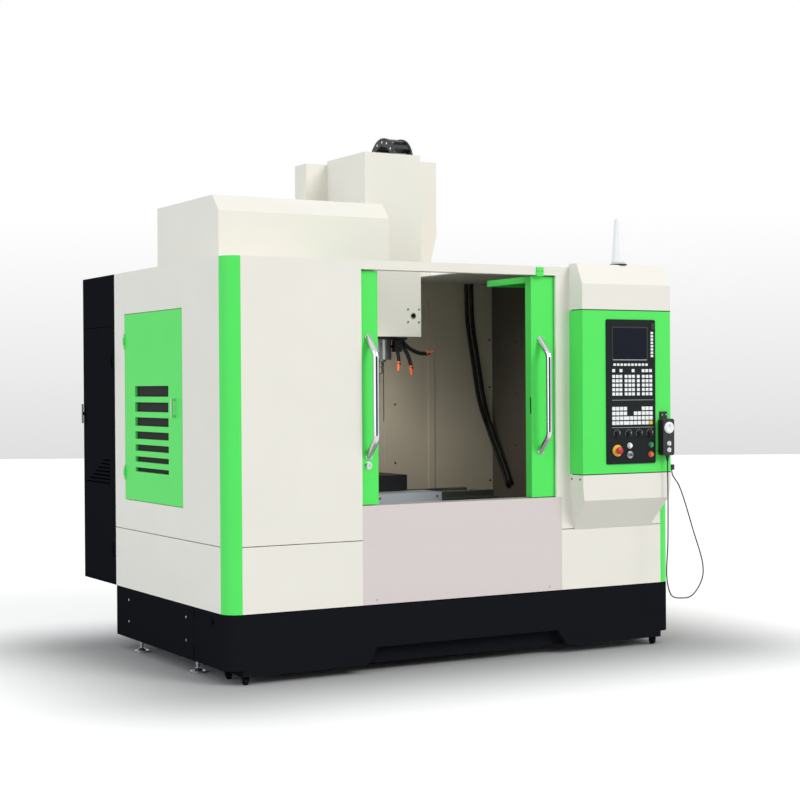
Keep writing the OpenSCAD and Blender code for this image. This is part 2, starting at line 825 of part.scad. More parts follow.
module hood_outline(inset) {
  y0 = hood_y + inset;
  y1 = hood_y + hood_d - inset;
  z0 = wall_top - (inset > 0 ? 1 : 0);
  z1 = wall_top + hood_h - inset;
  polygon([[y0, z0], [y1, z0], [y1, z1], [y0 + hood_cut_d, z1], [y0, z1 - hood_cut_h]]);
}

// Room for the head cover and its rear part
module hood_notches(wall) {
  far = [hood_x + hood_w + 1, hood_y + hood_d + 1, wall_top + hood_h + 1];
  slab([spindle_x - head_w / 2 - 13 - wall, head_y - 13 - wall, wall_top - 2], far);
  slab([spindle_x - head_rear_w / 2 - 13 - wall, head_y + head_d - 11 - wall, wall_top - 2], far);
}

module magazine_hood() {
  color("ivory") difference() {
    along_x(hood_x, hood_w) hood_outline(0);
    difference() {
      along_x(hood_x + sheet_t, hood_w - 2 * sheet_t) hood_outline(sheet_t);
      hood_notches(sheet_t);
    }
    hood_notches(0);
  }
}

module work_area_liner() {
  color("lightgray") {
    about_spindle() {
      slab([spindle_x + wall_half - sheet_t, wall_front, wall_z],
        [spindle_x + wall_half, wall_back + sheet_t, wall_z + wall_h]);
      slab([spindle_x + wall_inner_half, wall_back, wall_z],
        [spindle_x + wall_half - sheet_t - seat_gap, wall_back + sheet_t, wall_z + wall_h]);
    }
    // Lower leaf of the column's way cover, standing on the bed
    slab([spindle_x - wall_inner_half - 5, wall_back + sheet_t + seat_gap, bed_top],
      [spindle_x + wall_inner_half + 5, wall_back + 2 * sheet_t + seat_gap, head_bottom - 500]);
  }
}

// Chip pans that slope down to the bed, and the trough ahead of it
module chip_tray() {
  edge = wall_half - sheet_t;
  color("lightgray") {
    about_spindle() along_y(panel_t, wall_back - panel_t) translate([spindle_x, 0])
      polygon([[edge, pan_edge_z], [bed_top_half, bed_top], [bed_top_half - pan_lap, bed_top],
        [bed_top_half - pan_lap, bed_top + sheet_t], [bed_top_half, bed_top + sheet_t],
        [edge, pan_edge_z + sheet_t]]);
    along_y(panel_t, bed_front - panel_t) translate([spindle_x, 0])
      polygon([[-bed_top_half, trough_z], [bed_top_half, trough_z], [bed_top_half, bed_top - seat_gap],
        [bed_top_half - sheet_t, bed_top - seat_gap], [bed_top_half - sheet_t, trough_z + sheet_t],
        [sheet_t - bed_top_half, trough_z + sheet_t], [sheet_t - bed_top_half, bed_top - seat_gap],
        [-bed_top_half, bed_top - seat_gap]]);
  }
}

module cable_duct() {
  x0 = spindle_x + head_rear_w / 2 + 5;
  w = 240;
  y0 = head_y + head_d + 4;
  d = 240;
  top = head_top + 37;
  t = sheet_t;
  color("ivory") difference() {
    along_y(y0, d) polygon([[x0, wall_top], [x0 + w - 40, wall_top], [x0 + w - 40, wall_top + 110],
      [x0 + w, wall_top + 270], [x0 + w, top], [x0, top]]);
    along_y(y0 + t, d - 2 * t) polygon([[x0 + t, wall_top - 1], [x0 + w - 40 - t, wall_top - 1],
      [x0 + w - 40 - t, wall_top + 110], [x0 + w - t, wall_top + 270], [x0 + w - t, top - t],
          [x0 + t, top - t]]);
  }
}

// Electrical cabinet

module electrical_cabinet() {
  y0 = side_d;
  y1 = rear_y;
  door_y0 = y0 + 4 * cabinet_rim;
  hinge_y = door_y0 - hatch_gap / 2;
  color("black") {
    difference() {
      slab([0, y0, base_top], [cabinet_w, y1, wall_top]);
      slab([leaf_t + sheet_t, y0 + sheet_t, base_top + sheet_t],
        [cabinet_w - sheet_t, y1 - sheet_t, wall_top - sheet_t]);
      slab([-1, door_y0 - hatch_gap, base_top + cabinet_rim - hatch_gap],
        [leaf_t + sheet_t + 1, y1 - cabinet_rim + hatch_gap, cabinet_door_top + hatch_gap]);
    }
    for (z = [base_top + 200, cabinet_door_top - 200]) translate([-knuckle_d / 2, hinge_y, z]) {
      fixed_hinge();
      for (s = [-1, 1]) translate([0, -knuckle_d, s * knuckle_l * 0.75 + s * slide_gap - knuckle_l / 4])
        cube([knuckle_d / 2 + 4, knuckle_d, knuckle_l / 2]);
    }
  }
}

module drive_rack() {
  back_x = cabinet_w - sheet_t;
  unit_w = 95;
  color("silver") {
    slab([back_x - 10, side_d + 40, base_top + 80], [back_x, rear_y - 40, cabinet_door_top - 60]);
    for (i = [0 : 3]) difference() {
      slab([back_x - 210, side_d + 55 + i * 110, base_top + 850],
        [back_x - 9, side_d + 55 + i * 110 + unit_w, base_top + 1230]);
      for (k = [0 : 5]) slab([back_x - 211, side_d + 65 + i * 110 + k * 14, base_top + 860],
        [back_x - 190, side_d + 71 + i * 110 + k * 14, base_top + 1000]);
    }
    slab([back_x - 170, side_d + 60, base_top + 140], [back_x - 9, side_d + 290, base_top + 420]);
    for (i = [0 : 7]) slab([back_x - 90, side_d + 60 + i * 50, base_top + 560],
      [back_x - 9, side_d + 104 + i * 50, base_top + 660]);
  }
}

// Operator console

module console_housing() {
  z0 = console_z + console_h;
  z1 = z0 + cap_h;
  low = console_z - chin_h;
  t = sheet_t;
  side_z = console_z - chin_front_h / 2;
  color("ivory") {
    difference() {
      along_x(console_x, console_w) polygon([[0, z0], [console_y, z0], [console_y, z1 - cap_cut_h],
        [console_y + cap_cut_d, z1], [0, z1]]);
      along_x(console_x + t, console_w - 2 * t) polygon([[1, z0 + t], [console_y + t, z0 + t],
        [console_y + t, z1 - cap_cut_h], [console_y + cap_cut_d + t, z1 - t], [1, z1 - t]]);
    }
    difference() {
      intersection() {
        along_x(console_x, console_w) polygon([[0, console_z], [console_y, console_z],
          [console_y, console_z - chin_front_h], [0, low]]);
        along_y(console_y - 1, console_d + 1) polygon([[console_x, console_z],
          [console_x + console_w, console_z], [console_x + console_w, side_z],
          [console_x + console_w - 2 * chin_taper, low], [console_x + chin_taper, low],
              [console_x, side_z]]);
      }
      intersection() {
        along_x(console_x, console_w) polygon([[1, console_z - t], [console_y + t, console_z - t],
          [console_y + t, console_z - chin_front_h + t], [1, low + 2 * t]]);
        along_y(console_y, console_d + 2) polygon([[console_x + t, console_z - t],
          [console_x + console_w - t, console_z - t], [console_x + console_w - t, side_z],
          [console_x + console_w - 2 * chin_taper - t, low], [console_x + chin_taper + t, low],
          [console_x + t, side_z]]);
      }
    }
  }
}

module console_box() {
  color("limegreen") {
    difference() {
      slab([console_x, console_y, console_z], [console_x + console_w, 0, console_z + console_h]);
      slab([console_x + sheet_t, console_y + sheet_t, console_z + sheet_t],
        [console_x + console_w - sheet_t, 1, console_z + console_h - sheet_t]);
      slab([console_x + panel_x + panel_lap, console_y - 1, console_z + panel_z + panel_lap],
        [console_x + panel_x + panel_w - panel_lap, 0, console_z + panel_z + panel_h - panel_lap]);
    }
    // Gland for the pendant's cord on the right side
    slab([console_x + console_w - 1, cord_in.y - gland_d / 2, gland_z],
      [cord_in.x + 10, cord_in.y + gland_d / 2, gland_z + gland_l]);
  }
}

module at_panel(pos) {
  translate([console_x + panel_x + pos[0], panel_y, console_z + panel_z + pos[1]]) rotate([90, 0, 0])
      children();
}

module control_panel() {
  depth = plate_t + 2;
  color([0.12, 0.12, 0.13]) {
    difference() {
      translate([console_x + panel_x, console_y, console_z + panel_z]) rotate([90, 0, 0])
        linear_extrude(plate_t) rounded_outline(panel_w, panel_h, 10);
      for (p = [stop_pos, reset_pos, key_pos, start_pos, hold_pos])
        at_panel(p) translate([0, 0, -depth]) cylinder(d = stem_d + 2 * run_play, h = 2 * depth);
      for (x = knob_x)
        at_panel([x, knob_z]) translate([0, 0, -depth])
            cylinder(d = knob_shaft_d + 2 * run_play, h = 2 * depth);
    }
    // Collars round the emergency stop and the buttons
    for (c = [[stop_pos, 60], [reset_pos, 30], [start_pos, 30], [hold_pos, 30]]) at_panel(c[0])
      difference() {
        cylinder(d = c[1], h = 4);
        translate([0, 0, -1]) cylinder(d = stem_d + 2 * run_play + (c[1] > 40 ? 0 : 10), h = 6);
      }
  }
}

screen_pos = [42, 579];
screen_size = [234, 173];

module panel_screen() {
  color("darkslategray") at_panel(screen_pos) linear_extrude(2.5)
      rounded_outline(screen_size.x, screen_size.y, 4);
}

// Keys: places are the keys' middles, from the panel's left and bottom edges
key_rise = 2;

module key(pos, w, h) {
  at_panel([pos[0] - w / 2, pos[1] - h / 2]) linear_extrude(key_rise) rounded_outline(w, h, 2);
}

module panel_keys() {
  type_x = [48, 73, 97, 133, 159, 184, 218, 253, 279, 305];
  type_w = 19;
  type_h = 17;
  low_w = 22;
  low_pitch = 26.5;
  color("whitesmoke") {
    // Beside and under the screen
    for (i = [0 : 7]) key([314, 726 - i * 18.3], 17, 13);
    for (i = [0 : 9]) key([55 + i * 24.5, 549], 17, 13);
    key([319, 763], 18, 34);
    // Typing keys
    for (x = [48, 98, 182, 252, 277, 303]) key([x, 516], type_w, type_h);
    for (x = type_x, i = [0 : 4]) key([x, 484 - i * 24.3], type_w, type_h);
    // Machine keys in three groups
    for (i = [0 : 3], k = [0 : 3]) key([48 + i * low_pitch, 306 - k * low_pitch], low_w, low_w - 2);
    for (i = [0 : 3], k = [1 : 3]) if (k > 1 || i > 1)
      key([156 + i * low_pitch - 12, 306 - k * low_pitch], low_w, low_w - 2);
    for (i = [0 : 2], k = [0 : 3]) key([252 + i * low_pitch, 306 - k * low_pitch], low_w, low_w - 2);
  }
}

module tower_light() {
  base_z = console_z + console_h + cap_h;
  color("white") translate([console_x + 315, console_y / 4, base_z]) rotate_extrude()
    polygon([[0, 0], [48, 0], [48, 7], [37, 7], [37, 14], [39, 16], [20, 250], [15, 262], [0, 266]]);
}

module push_button(d, h) {
  translate([0, 0, -plate_t - 8]) cylinder(d = stem_d, h = plate_t + 8 + h);
  translate([0, 0, 6]) cylinder(d = d, h = h);
}

module e_stop_button() {
  color("red") at_panel(stop_pos) {
    translate([0, 0, -plate_t - 10]) cylinder(d = stem_d, h = plate_t + 26);
    translate([0, 0, 14]) rotate_extrude()
      polygon([[0, 0], [13, 0], [20, 5], [20, 13], [16, 18], [8, 21], [0, 22]]);
  }
}

module reset_button() {
  color("white") at_panel(reset_pos) push_button(22, 8);
}

module cycle_start_button() {
  color("green") at_panel(start_pos) push_button(22, 8);
}

module feed_hold_button() {
  color("orange") at_panel(hold_pos) push_button(22, 8);
}

module key_switch() {
  color("silver") at_panel(key_pos) {
    translate([0, 0, -plate_t - 8]) cylinder(d = stem_d, h = plate_t + 14);
    translate([0, 0, slide_gap]) cylinder(d = 28, h = 8);
    translate([-1.2, -9, 8]) cube([2.4, 18, 20]);
  }
}

module rotary_knob() {
  translate([0, 0, -plate_t - 6]) cylinder(d = knob_shaft_d, h = plate_t + 10);
  translate([0, 0, slide_gap]) {
    cylinder(d = 34, h = 3);
    cylinder(d1 = 28, d2 = 25, h = 18);
    translate([-4, -13, 0]) cube([8, 26, 23]);
  }
}

module mode_knob() {
  color("black") at_panel([knob_x[0], knob_z]) rotate(20) rotary_knob();
}

module feed_knob() {
  color("black") at_panel([knob_x[1], knob_z]) rotate(-30) rotary_knob();
}

module rapid_knob() {
  color("black") at_panel([knob_x[2], knob_z]) rotate(10) rotary_knob();
}

module spindle_knob() {
  color("black") at_panel([knob_x[3], knob_z]) rotate(-15) rotary_knob();
}

// Hand pendant

module at_pendant(z) {
  translate([pendant_mid, pendant_front, z]) rotate([90, 0, 0]) children();
}

module pendant_body() {
  bracket_h = 40;
  color("black") {
    difference() {
      translate([pendant_mid - pendant_w / 2, pendant_back, pendant_z]) rotate([90, 0, 0])
        linear_extrude(pendant_t) rounded_outline(pendant_w, pendant_h, 14);
      at_pendant(wheel_z) translate([0, 0, -12]) cylinder(d = wheel_shaft_d + 2 * run_play, h = 13);
      for (z = selector_z) at_pendant(z) translate([0, 0, -12])
        cylinder(d = knob_shaft_d + 2 * run_play, h = 13);
    }
    slab([pendant_mid - 24, pendant_back - 1, pendant_z + pendant_h - 60],
      [pendant_mid + 24, console_y, pendant_z + pendant_h + bracket_h]);
    for (s = [-1, 1]) rod_y(pendant_mid + s * 14, pendant_back - 4, pendant_z + pendant_h + 22, 12, 5);
    translate([cord_out.x, cord_out.y, cord_out.z])
      cylinder(d1 = cord_d + 3, d2 = 24, h = relief_l + 1);
  }
}

module pendant_cord() {
  color("black") swept_tube(curve(cord_knots, 4), cord_d, [0, 1, 0.2]);
}

module handwheel() {
  color("whitesmoke") at_pendant(wheel_z) {
    translate([0, 0, -10]) cylinder(d = wheel_shaft_d, h = 12);
    translate([0, 0, slide_gap]) rotate_extrude()
      polygon([[0, 0], [wheel_d / 2, 0], [wheel_d / 2, 6], [wheel_d / 2 - 6, 9], [wheel_d / 2 - 6, 11],
        [8, 11], [8, 9], [0, 9]]);
    translate([0, wheel_d / 2 - 14, 5]) cylinder(d = 12, h = wheel_h - 5);
  }
}

module selector_knob() {
  translate([0, 0, -10]) cylinder(d = knob_shaft_d, h = 12);
  translate([0, 0, slide_gap]) {
    cylinder(d = 26, h = 4);
    translate([-4, -11, 0]) cube([8, 22, 14]);
  }
}

module axis_selector() {
  color("black") at_pendant(selector_z[0]) selector_knob();
}

module step_selector() {
  color("black") at_pendant(selector_z[1]) selector_knob();
}

module work_hoses() {
  color("black") {
    swept_tube(curve(hose_knots, 3), hose_d, [0.3, 1, 0.1]);
    swept_tube(curve([for (i = [0 : len(hose_knots) - 1])
      hose_knots[i] + hose_side[i < 5 ? 0 : i == 5 ? 1 : 2]], 3), hose_d, [0.3, 1, 0.1]);
  }
}

// Sliding doors: drawn with the free edge at x = 0 and the door to the left of it

module door_leaf() {
  win_x = -handle_inset * 2 - window_w - window_side;
  win_z = door_bottom + 330;
  frame_w = pane_step + 20;
  difference() {
    union() {
      folded([-door_w, door_y, door_bottom], [0, door_y + door_t, door_top - return_t], [0, 1, 0]);
      folded([-door_w, door_y, door_top - return_t], [0, door_y + return_d, door_top], [0, 0, -1]);
      slab([win_x - frame_w, door_y + 1, win_z - frame_w],
        [win_x + window_w + frame_w, door_y + door_t, win_z + window_h + frame_w]);
    }
    slab([win_x, door_y - 1, win_z], [win_x + window_w, door_y + door_t + 1, win_z + window_h]);
    slab([win_x - pane_step - pane_gap, door_y + door_t - pane_t, win_z - pane_step - pane_gap],
      [win_x + window_w + pane_step + pane_gap, door_y + door_t + 1,
          win_z + window_h + pane_step + pane_gap]);
  }
  // Hangers with rollers on the track
  for (x = [-door_w + 60, -60 - hanger_w]) {
    slab([x, track_y - hanger_t - 0.5, door_top - 1],
        [x + hanger_w, track_y - 0.5, track_z + track_t + 26]);
    rod_y(x + hanger_w / 2, track_y - 1, track_z + track_t + slide_gap + roller_d / 2, roller_d,
      track_w - 8);
  }
}

module door_pane() {
  win_x = -handle_inset * 2 - window_w - window_side;
  win_z = door_bottom + 330;
  slab([win_x - pane_step, door_y + door_t - pane_t, win_z - pane_step],
    [win_x + window_w + pane_step, door_y + door_t, win_z + window_h + pane_step]);
}

module door_handle() {
  mid_z = 1426;
  bend = handle_bend;
  weld_l = 6;
  // The grip, a bend of 45 degrees and a slanting leg cut off at the door, with a bead at each joint
  leg_y = handle_reach - bend * (1 - cos(45));
  grip = handle_l / 2 - bend * sin(45) - leg_y;
  translate([-handle_inset, door_y, mid_z]) rotate([90, 0, 90]) {
    difference() {
      union() {
        translate([-handle_reach, -grip, 0]) rotate([-90, 0, 0]) cylinder(d = handle_d, h = 2 * grip);
        for (s = [0, 1]) mirror([0, s, 0]) translate([bend - handle_reach, grip, 0]) {
          rotate(135) rotate_extrude(angle = 45) translate([bend, 0]) circle(d = handle_d);
          translate([-bend, -weld_l / 2, 0]) rotate([-90, 0, 0]) cylinder(d = handle_d + 1, h = weld_l);
          translate([-bend * cos(45), bend * sin(45), 0]) rotate(45) rotate([0, 90, 0]) {
            cylinder(d = handle_d, h = 2 * leg_y);
            translate([0, 0, -weld_l / 2]) cylinder(d = handle_d + 1, h = weld_l);
          }
        }
      }
      translate([-3, -handle_l, -handle_d]) cube([2 * handle_l, 2 * handle_l, 2 * handle_d]);
    }
    for (s = [-1, 1]) translate([-5, s * handle_l / 2, 0]) rotate([0, 90, 0])
      cylinder(d = handle_d + 6, h = 5);
  }
}

module left_door() {
  lock_d = 30;
  color("limegreen") translate([left_edge, 0, 0]) {
    door_leaf();
    rod_y(-handle_inset - 3, door_y - 12, 1073, lock_d, 13);
  }
}

module left_window() {
  color("lightblue") translate([left_edge, 0, 0]) door_pane();
}

module left_handle() {
  color("silver") translate([left_edge, 0, 0]) door_handle();
}

module right_door() {
  tab_x = 21;
  tab_w = 46;
  tab_t = 4;
  color("limegreen") translate([right_edge, 0, 0]) {
    mirror([1, 0, 0]) door_leaf();
    // Tab that stands up ahead of the header
    difference() {
      along_x(tab_x, tab_w) polygon([[-2 - tab_t, door_top], [door_y + door_t, door_top],
        [door_y + door_t, door_top + tab_t], [-2, door_top + tab_t], [-2, wall_top - 6],
        [-2 - tab_t, wall_top - 6]]);
      for (x = [10, tab_w - 10]) rod_y(tab_x + x, -10, wall_top - 28, 7, 10);
    }
  }
}

module right_window() {
  color("lightblue") translate([right_edge, 0, 0]) mirror([1, 0, 0]) door_pane();
}

module right_handle() {
  color("silver") translate([right_edge, 0, 0]) mirror([1, 0, 0]) door_handle();
}

// Hinged doors

function louvre_z(i) = i == 0 ? 0 : louvre_z(i - 1) - louvre_gap - (louvre_h - i * louvre_step);

module service_door() {
  hinge_y = hatch_y + hatch_w + hatch_gap / 2;
  first = hatch_z + louvre_top - louvre_h;
  slot_y = hatch_y + 190;
  pull_y = hatch_y + 85;
  color("limegreen") {
    difference() {
      slab([0, hatch_y, hatch_z], [leaf_t, hatch_y + hatch_w, hatch_z + hatch_h]);
      for (i = [0 : louvre_n - 1]) slab([-1, slot_y, first + louvre_z(i)],
        [leaf_t + 1, slot_y + louvre_l, first + louvre_z(i) + louvre_h - i * louvre_step]);
    }
    for (z = [hatch_z + 150, hatch_z + hatch_h - 150]) translate([-knuckle_d / 2, hinge_y, z]) {
      moving_knuckle();
      difference() {
        translate([0, -knuckle_d, -knuckle_l / 2]) cube([knuckle_d / 2 + 4, knuckle_d, knuckle_l]);
        cylinder(d = hinge_pin_d + 2 * run_play, h = knuckle_l + 2, center = true);
      }
    }
    // Pull handle
    for (z = [0, 88]) slab([4 - pull_reach, pull_y, hatch_z + 466 + z],
        [-seat_gap, pull_y + 10, hatch_z + 478 + z]);
    slab([-pull_reach, pull_y - 2, hatch_z + 466], [8 - pull_reach, pull_y + 12, hatch_z + 566]);
  }
}

module cabinet_door() {
  y0 = side_d + 4 * cabinet_rim;
  y1 = rear_y - cabinet_rim;
  z0 = base_top + cabinet_rim;
  hinge_y = y0 - hatch_gap / 2;
  rows = 7;
  color("black") {
    difference() {
      slab([0, y0, z0], [leaf_t, y1, cabinet_door_top]);
      for (i = [0 : rows - 1])
        slab([-1, y0 + 40, z0 + 560 + i * 22], [leaf_t + 1, y1 - 40 - i * 48, z0 + 568 + i * 22]);
    }
    for (z = [base_top + 200, cabinet_door_top - 200]) translate([-knuckle_d / 2, hinge_y, z]) {
      moving_knuckle();
      difference() {
        translate([0, 0, -knuckle_l / 2]) cube([knuckle_d / 2 + 4, knuckle_d, knuckle_l]);
        cylinder(d = hinge_pin_d + 2 * run_play, h = knuckle_l + 2, center = true);
      }
    }
    slab([6 - pull_reach, y1 - 32, 1320], [1, y1 - 14, 1340]);
    slab([-pull_reach, y1 - 34, 1273], [8 - pull_reach, y1 - 12, 1387]);
  }
}

// Saddle and table

module saddle() {
  groove = 90;
  nut_l = 120;
  color("dimgray") {
    difference() {
      slab([saddle_x, table_y - saddle_w / 2, saddle_bottom],
        [saddle_x + saddle_l, table_y + saddle_w / 2, saddle_top]);
      slab([saddle_x - 1, table_y - groove / 2, x_screw_z - groove / 2],
        [saddle_x + saddle_l + 1, table_y + groove / 2, saddle_top + 1]);
    }
    about_spindle() for (y = [-1, 1])
      translate([spindle_x + y_rail_x, table_y + y * (saddle_w / 2 - carriage_l / 2), bed_top])
        rotate([0, 0, 90]) carriage();
    // Nut of the Y screw
    difference() {
      slab([spindle_x - 55, table_y - nut_l / 2, bed_top + 4],
          [spindle_x + 55, table_y + nut_l / 2, saddle_bottom + 1]);
      rod_y(spindle_x, table_y - nut_l, screw_z, screw_d + 2 * slide_gap, 2 * nut_l);
    }
  }
}

module x_drive() {
  block_l = 40;
  groove = 90;
  motor = 130;
  color("dimgray") {
    for (y = [-1, 1]) slab([saddle_x + 10, table_y + y * x_rail_y - rail_w / 2, saddle_top],
      [saddle_x + saddle_l - 10, table_y + y * x_rail_y + rail_w / 2, saddle_top + rail_h]);
    for (x = [saddle_x, saddle_x + saddle_l - block_l])
      slab([x, table_y - groove / 2, x_screw_z - groove / 2],
          [x + block_l, table_y + groove / 2, saddle_top + 30]);
    rod_x(saddle_x + 1, table_y, x_screw_z, screw_d, saddle_l - 2);
    translate([saddle_x, table_y, x_screw_z]) servo(motor, 140);
  }
}

module t_slot_outline() {
  neck = 22;
  translate([-slot_w / 2, -neck]) square([slot_w, neck + 1]);
  translate([-slot_w * 0.85, -neck - 12]) square([slot_w * 1.7, 12.5]);
}

module table() {
  nut_l = 100;
  color("gray") {
    difference() {
      slab([table_x - table_l / 2, table_y - table_w / 2, table_bottom],
        [table_x + table_l / 2, table_y + table_w / 2, table_top]);
      for (i = [0 : slot_n - 1]) along_x(table_x - table_l / 2 - 1, table_l + 2)
        translate([table_y + (i - (slot_n - 1) / 2) * slot_pitch, table_top]) t_slot_outline();
    }
    for (x = [-1, 1], y = [-1, 1])
      translate([table_x + x * 280, table_y + y * x_rail_y, saddle_top]) carriage();
    difference() {
      slab([table_x - nut_l / 2, table_y - 42, x_screw_z - 30],
          [table_x + nut_l / 2, table_y + 42, table_bottom + 1]);
      rod_x(table_x - nut_l, table_y, x_screw_z, screw_d + 2 * slide_gap, 2 * nut_l);
    }
  }
}

module way_cover() {
  front = table_y - cover_reach;
  back = table_y - saddle_w / 2;
  top = table_bottom - 4;
  low = top - 160;
  x0 = spindle_x - cover_w / 2;
  color("gray") difference() {
    slab([x0, front, low], [x0 + cover_w, back, top]);
    slab([x0 + sheet_t, front + sheet_t, low - 1], [x0 + cover_w - sheet_t, back + 1, top - sheet_t]);
  }
}

// Spindle head

module spindle_head() {
  plate_half = 270;
  plate_y = head_back - 60;
  arm_top = head_bottom + 490;
  color("dimgray") {
    difference() {
      union() {
        slab([spindle_x - plate_half, plate_y, head_bottom + 26],
          [spindle_x + plate_half, head_back, head_bottom + 636]);
        along_x(spindle_x - arm_half, 2 * arm_half)
          polygon([[spindle_y - 135, head_bottom + sheet_t], [spindle_y + 200, head_bottom + sheet_t],
            [plate_y + 1, head_bottom + 120], [plate_y + 1, head_bottom + 600],
            [spindle_y + 260, arm_top], [spindle_y - 135, arm_top]]);
        translate([spindle_x, spindle_y, quill_end]) cylinder(d = quill_d, h = quill_l + 20);
      }
      translate([spindle_x, spindle_y, quill_end - 1])
        cylinder(d = spindle_d + 2 * run_play, h = 320);
      slab([spindle_x - arm_half + 35, spindle_y + 130, head_bottom + 160],
        [spindle_x + arm_half - 35, plate_y - 40, head_bottom + 700]);
    }
    about_spindle() for (z = [head_bottom + 26 + carriage_l / 2, head_bottom + 636 - carriage_l / 2])
      translate([spindle_x + z_rail_x, column_y, z]) rotate([90, 0, 0]) rotate([0, 0, 90]) carriage();
    difference() {
      slab([spindle_x - 55, head_back - 1, head_bottom + 260],
          [spindle_x + 55, column_y - 4, head_bottom + 380]);
      translate([spindle_x, z_screw_y, head_bottom + 200]) cylinder(d = screw_d + 2 * slide_gap, h = 240);
    }
    // Upper leaf of the column's way cover
    slab([spindle_x - wall_inner_half + 16, wall_back + 2 * sheet_t + 3 * seat_gap, head_bottom - 502],
      [spindle_x + wall_inner_half - 16, wall_back + 3 * sheet_t + 3 * seat_gap, head_bottom + 27]);
  }
}

module head_cover() {
  x0 = spindle_x - head_w / 2;
  half = head_rear_w / 2;
  back = head_y + head_d;
  top = head_rear_z + head_rear_h;
  hole = quill_d + 2;
  port = [spindle_x + 130, head_bottom + 120];
  plate_w = 288;
  t = sheet_t;
  color("ivory") {
    difference() {
      slab([x0, head_y, head_bottom], [x0 + head_w, back, head_top]);
      slab([x0 + t, head_y + t, head_bottom + t], [x0 + head_w - t, back + 1, head_top - t]);
      translate([spindle_x, spindle_y, head_bottom - 1]) cylinder(d = hole, h = 2 * t);
      rod_y(port[0], head_y - 1, port[1], 29, 2 * t);
    }
    // Access plate on the front
    slab([spindle_x - plate_w / 2, head_y - 2, head_bottom + 380],
      [spindle_x + plate_w / 2, head_y + 1, head_bottom + 697]);
    for (x = [-1, 1], z = [-1, 1]) rod_y(port[0] + x * 36, head_y - 3, port[1] + z * 36, 10, 4);
    difference() {
      slab([spindle_x - half, back - t, head_rear_z], [spindle_x + half, back + head_rear_d, top]);
      slab([spindle_x - half + t, back, head_rear_z - 1],
        [spindle_x + half - t, back + head_rear_d + 1, top - t]);
      slab([x0 + t, back - 20, head_rear_z - 1], [x0 + head_w - t, back + 1, top - t]);
    }
  }
}

module spindle_motor() {
  base = head_bottom + 490;
  color("dimgray") translate([spindle_x, spindle_y, base]) {
    translate([-110, -110, 0]) cube([220, 220, 30]);
    difference() {
      translate([-100, -100, 30]) cube([200, 200, 360]);
      for (a = [0 : 3]) rotate(a * 90) for (i = [-4 : 4])
        translate([94, i * 18 - 3, 50]) cube([10, 6, 320]);
    }
    translate([0, 0, 390]) cylinder(d = 170, h = 40);
  }
}

// A jointed hose: links that go down from the origin and turn towards +X by bend degrees at each link
module jointed_hose(links, bend) {
  pitch = nozzle_d * 0.9;
  if (links > 0) {
    translate([0, 0, -pitch]) cylinder(d1 = nozzle_d * 0.8, d2 = nozzle_d, h = pitch);
    sphere(d = nozzle_d);
    translate([0, 0, -pitch]) rotate([0, -bend, 0]) jointed_hose(links - 1, bend);
  } else {
    sphere(d = nozzle_d);
    translate([0, 0, -30]) cylinder(d1 = 8, d2 = nozzle_d * 0.9, h = 30);
  }
}

module coolant_nozzles() {
  ring_t = 14;
  ring_d = 236;
  // Place from the spindle axis, first slant, bend of each link, number of links
  hoses = [[90, 20, -2.2, 10], [116, 45, -3, 13], [142, 40, 4.5, 14]];
  row_y = -35;
  color("black") translate([spindle_x, spindle_y, head_bottom - ring_t]) {
    difference() {
      union() {
        cylinder(d = ring_d, h = ring_t);
        slab([70, row_y - 22, 0], [160, row_y + 22, ring_t]);
      }
      translate([0, 0, -1]) cylinder(d = quill_d + 2 * slide_gap, h = ring_t + 2);
    }
    for (h = hoses) translate([h[0], row_y, 0]) {
      translate([0, 0, -10]) cylinder(d = 22, h = 11, $fn = 6);
      translate([0, 0, -8]) rotate([0, -h[1], 0]) jointed_hose(h[3], h[2]);
    }
  }
}

// Cable chain: links side by side along its bend, standing out of the head cover's top
module cable_chain() {
  links = 7;
  sunk = 42;
  mid_y = head_y + 4 + chain_r;
  inner = chain_r - 45;
  plate = 12;
  step = 180 / links;
  color("black") translate([spindle_x + 16, mid_y, head_top - sunk]) rotate([90, 0, 90]) difference() {
    union() {
      for (x = [0, chain_w - plate]) translate([0, 0, x]) difference() {
        cylinder(r = chain_r, h = plate, $fn = 96);
        translate([0, 0, -1]) cylinder(r = inner, h = plate + 2, $fn = 96);
      }
      for (i = [0 : links - 1], r = [4, 34]) rotate(step * (i + 0.5))
        translate([inner + r, -16, plate - 2]) cube([6, 32, chain_w - 2 * plate + 4]);
    }
    translate([-chain_r - 1, -chain_r - 1, -1]) cube([2 * chain_r + 2, chain_r + 1 + sunk, chain_w + 2]);
    for (i = [0 : links - 1]) rotate(step * (i + 0.5))
      translate([inner + 22, 0, -1]) cylinder(d = 14, h = chain_w + 2);
    for (i = [1 : links - 1]) rotate(step * i) translate([chain_r - 14, -2, -1]) cube([20, 4, chain_w + 2]);
  }
}

module spindle() {
  color("silver") translate([spindle_x, spindle_y, quill_end]) {
    translate([0, 0, -10]) cylinder(d = spindle_d, h = 300);
    for (a = [0, 180]) rotate(a) translate([spindle_d / 2 - 16, -8, -18]) cube([12, 16, 10]);
  }
}

module cutting_tool() {
  color("silver") translate([spindle_x, spindle_y, quill_end - 10]) rotate_extrude()
    polygon([[0, 0], [26, 0], [26, -8], [31, -8], [31, -14], [28, -17], [31, -20], [31, -26], [25, -30],
      [25, -66], [20, -70], [8, -72], [8, -tool_l], [0, -tool_l]]);
}

// Tool magazine

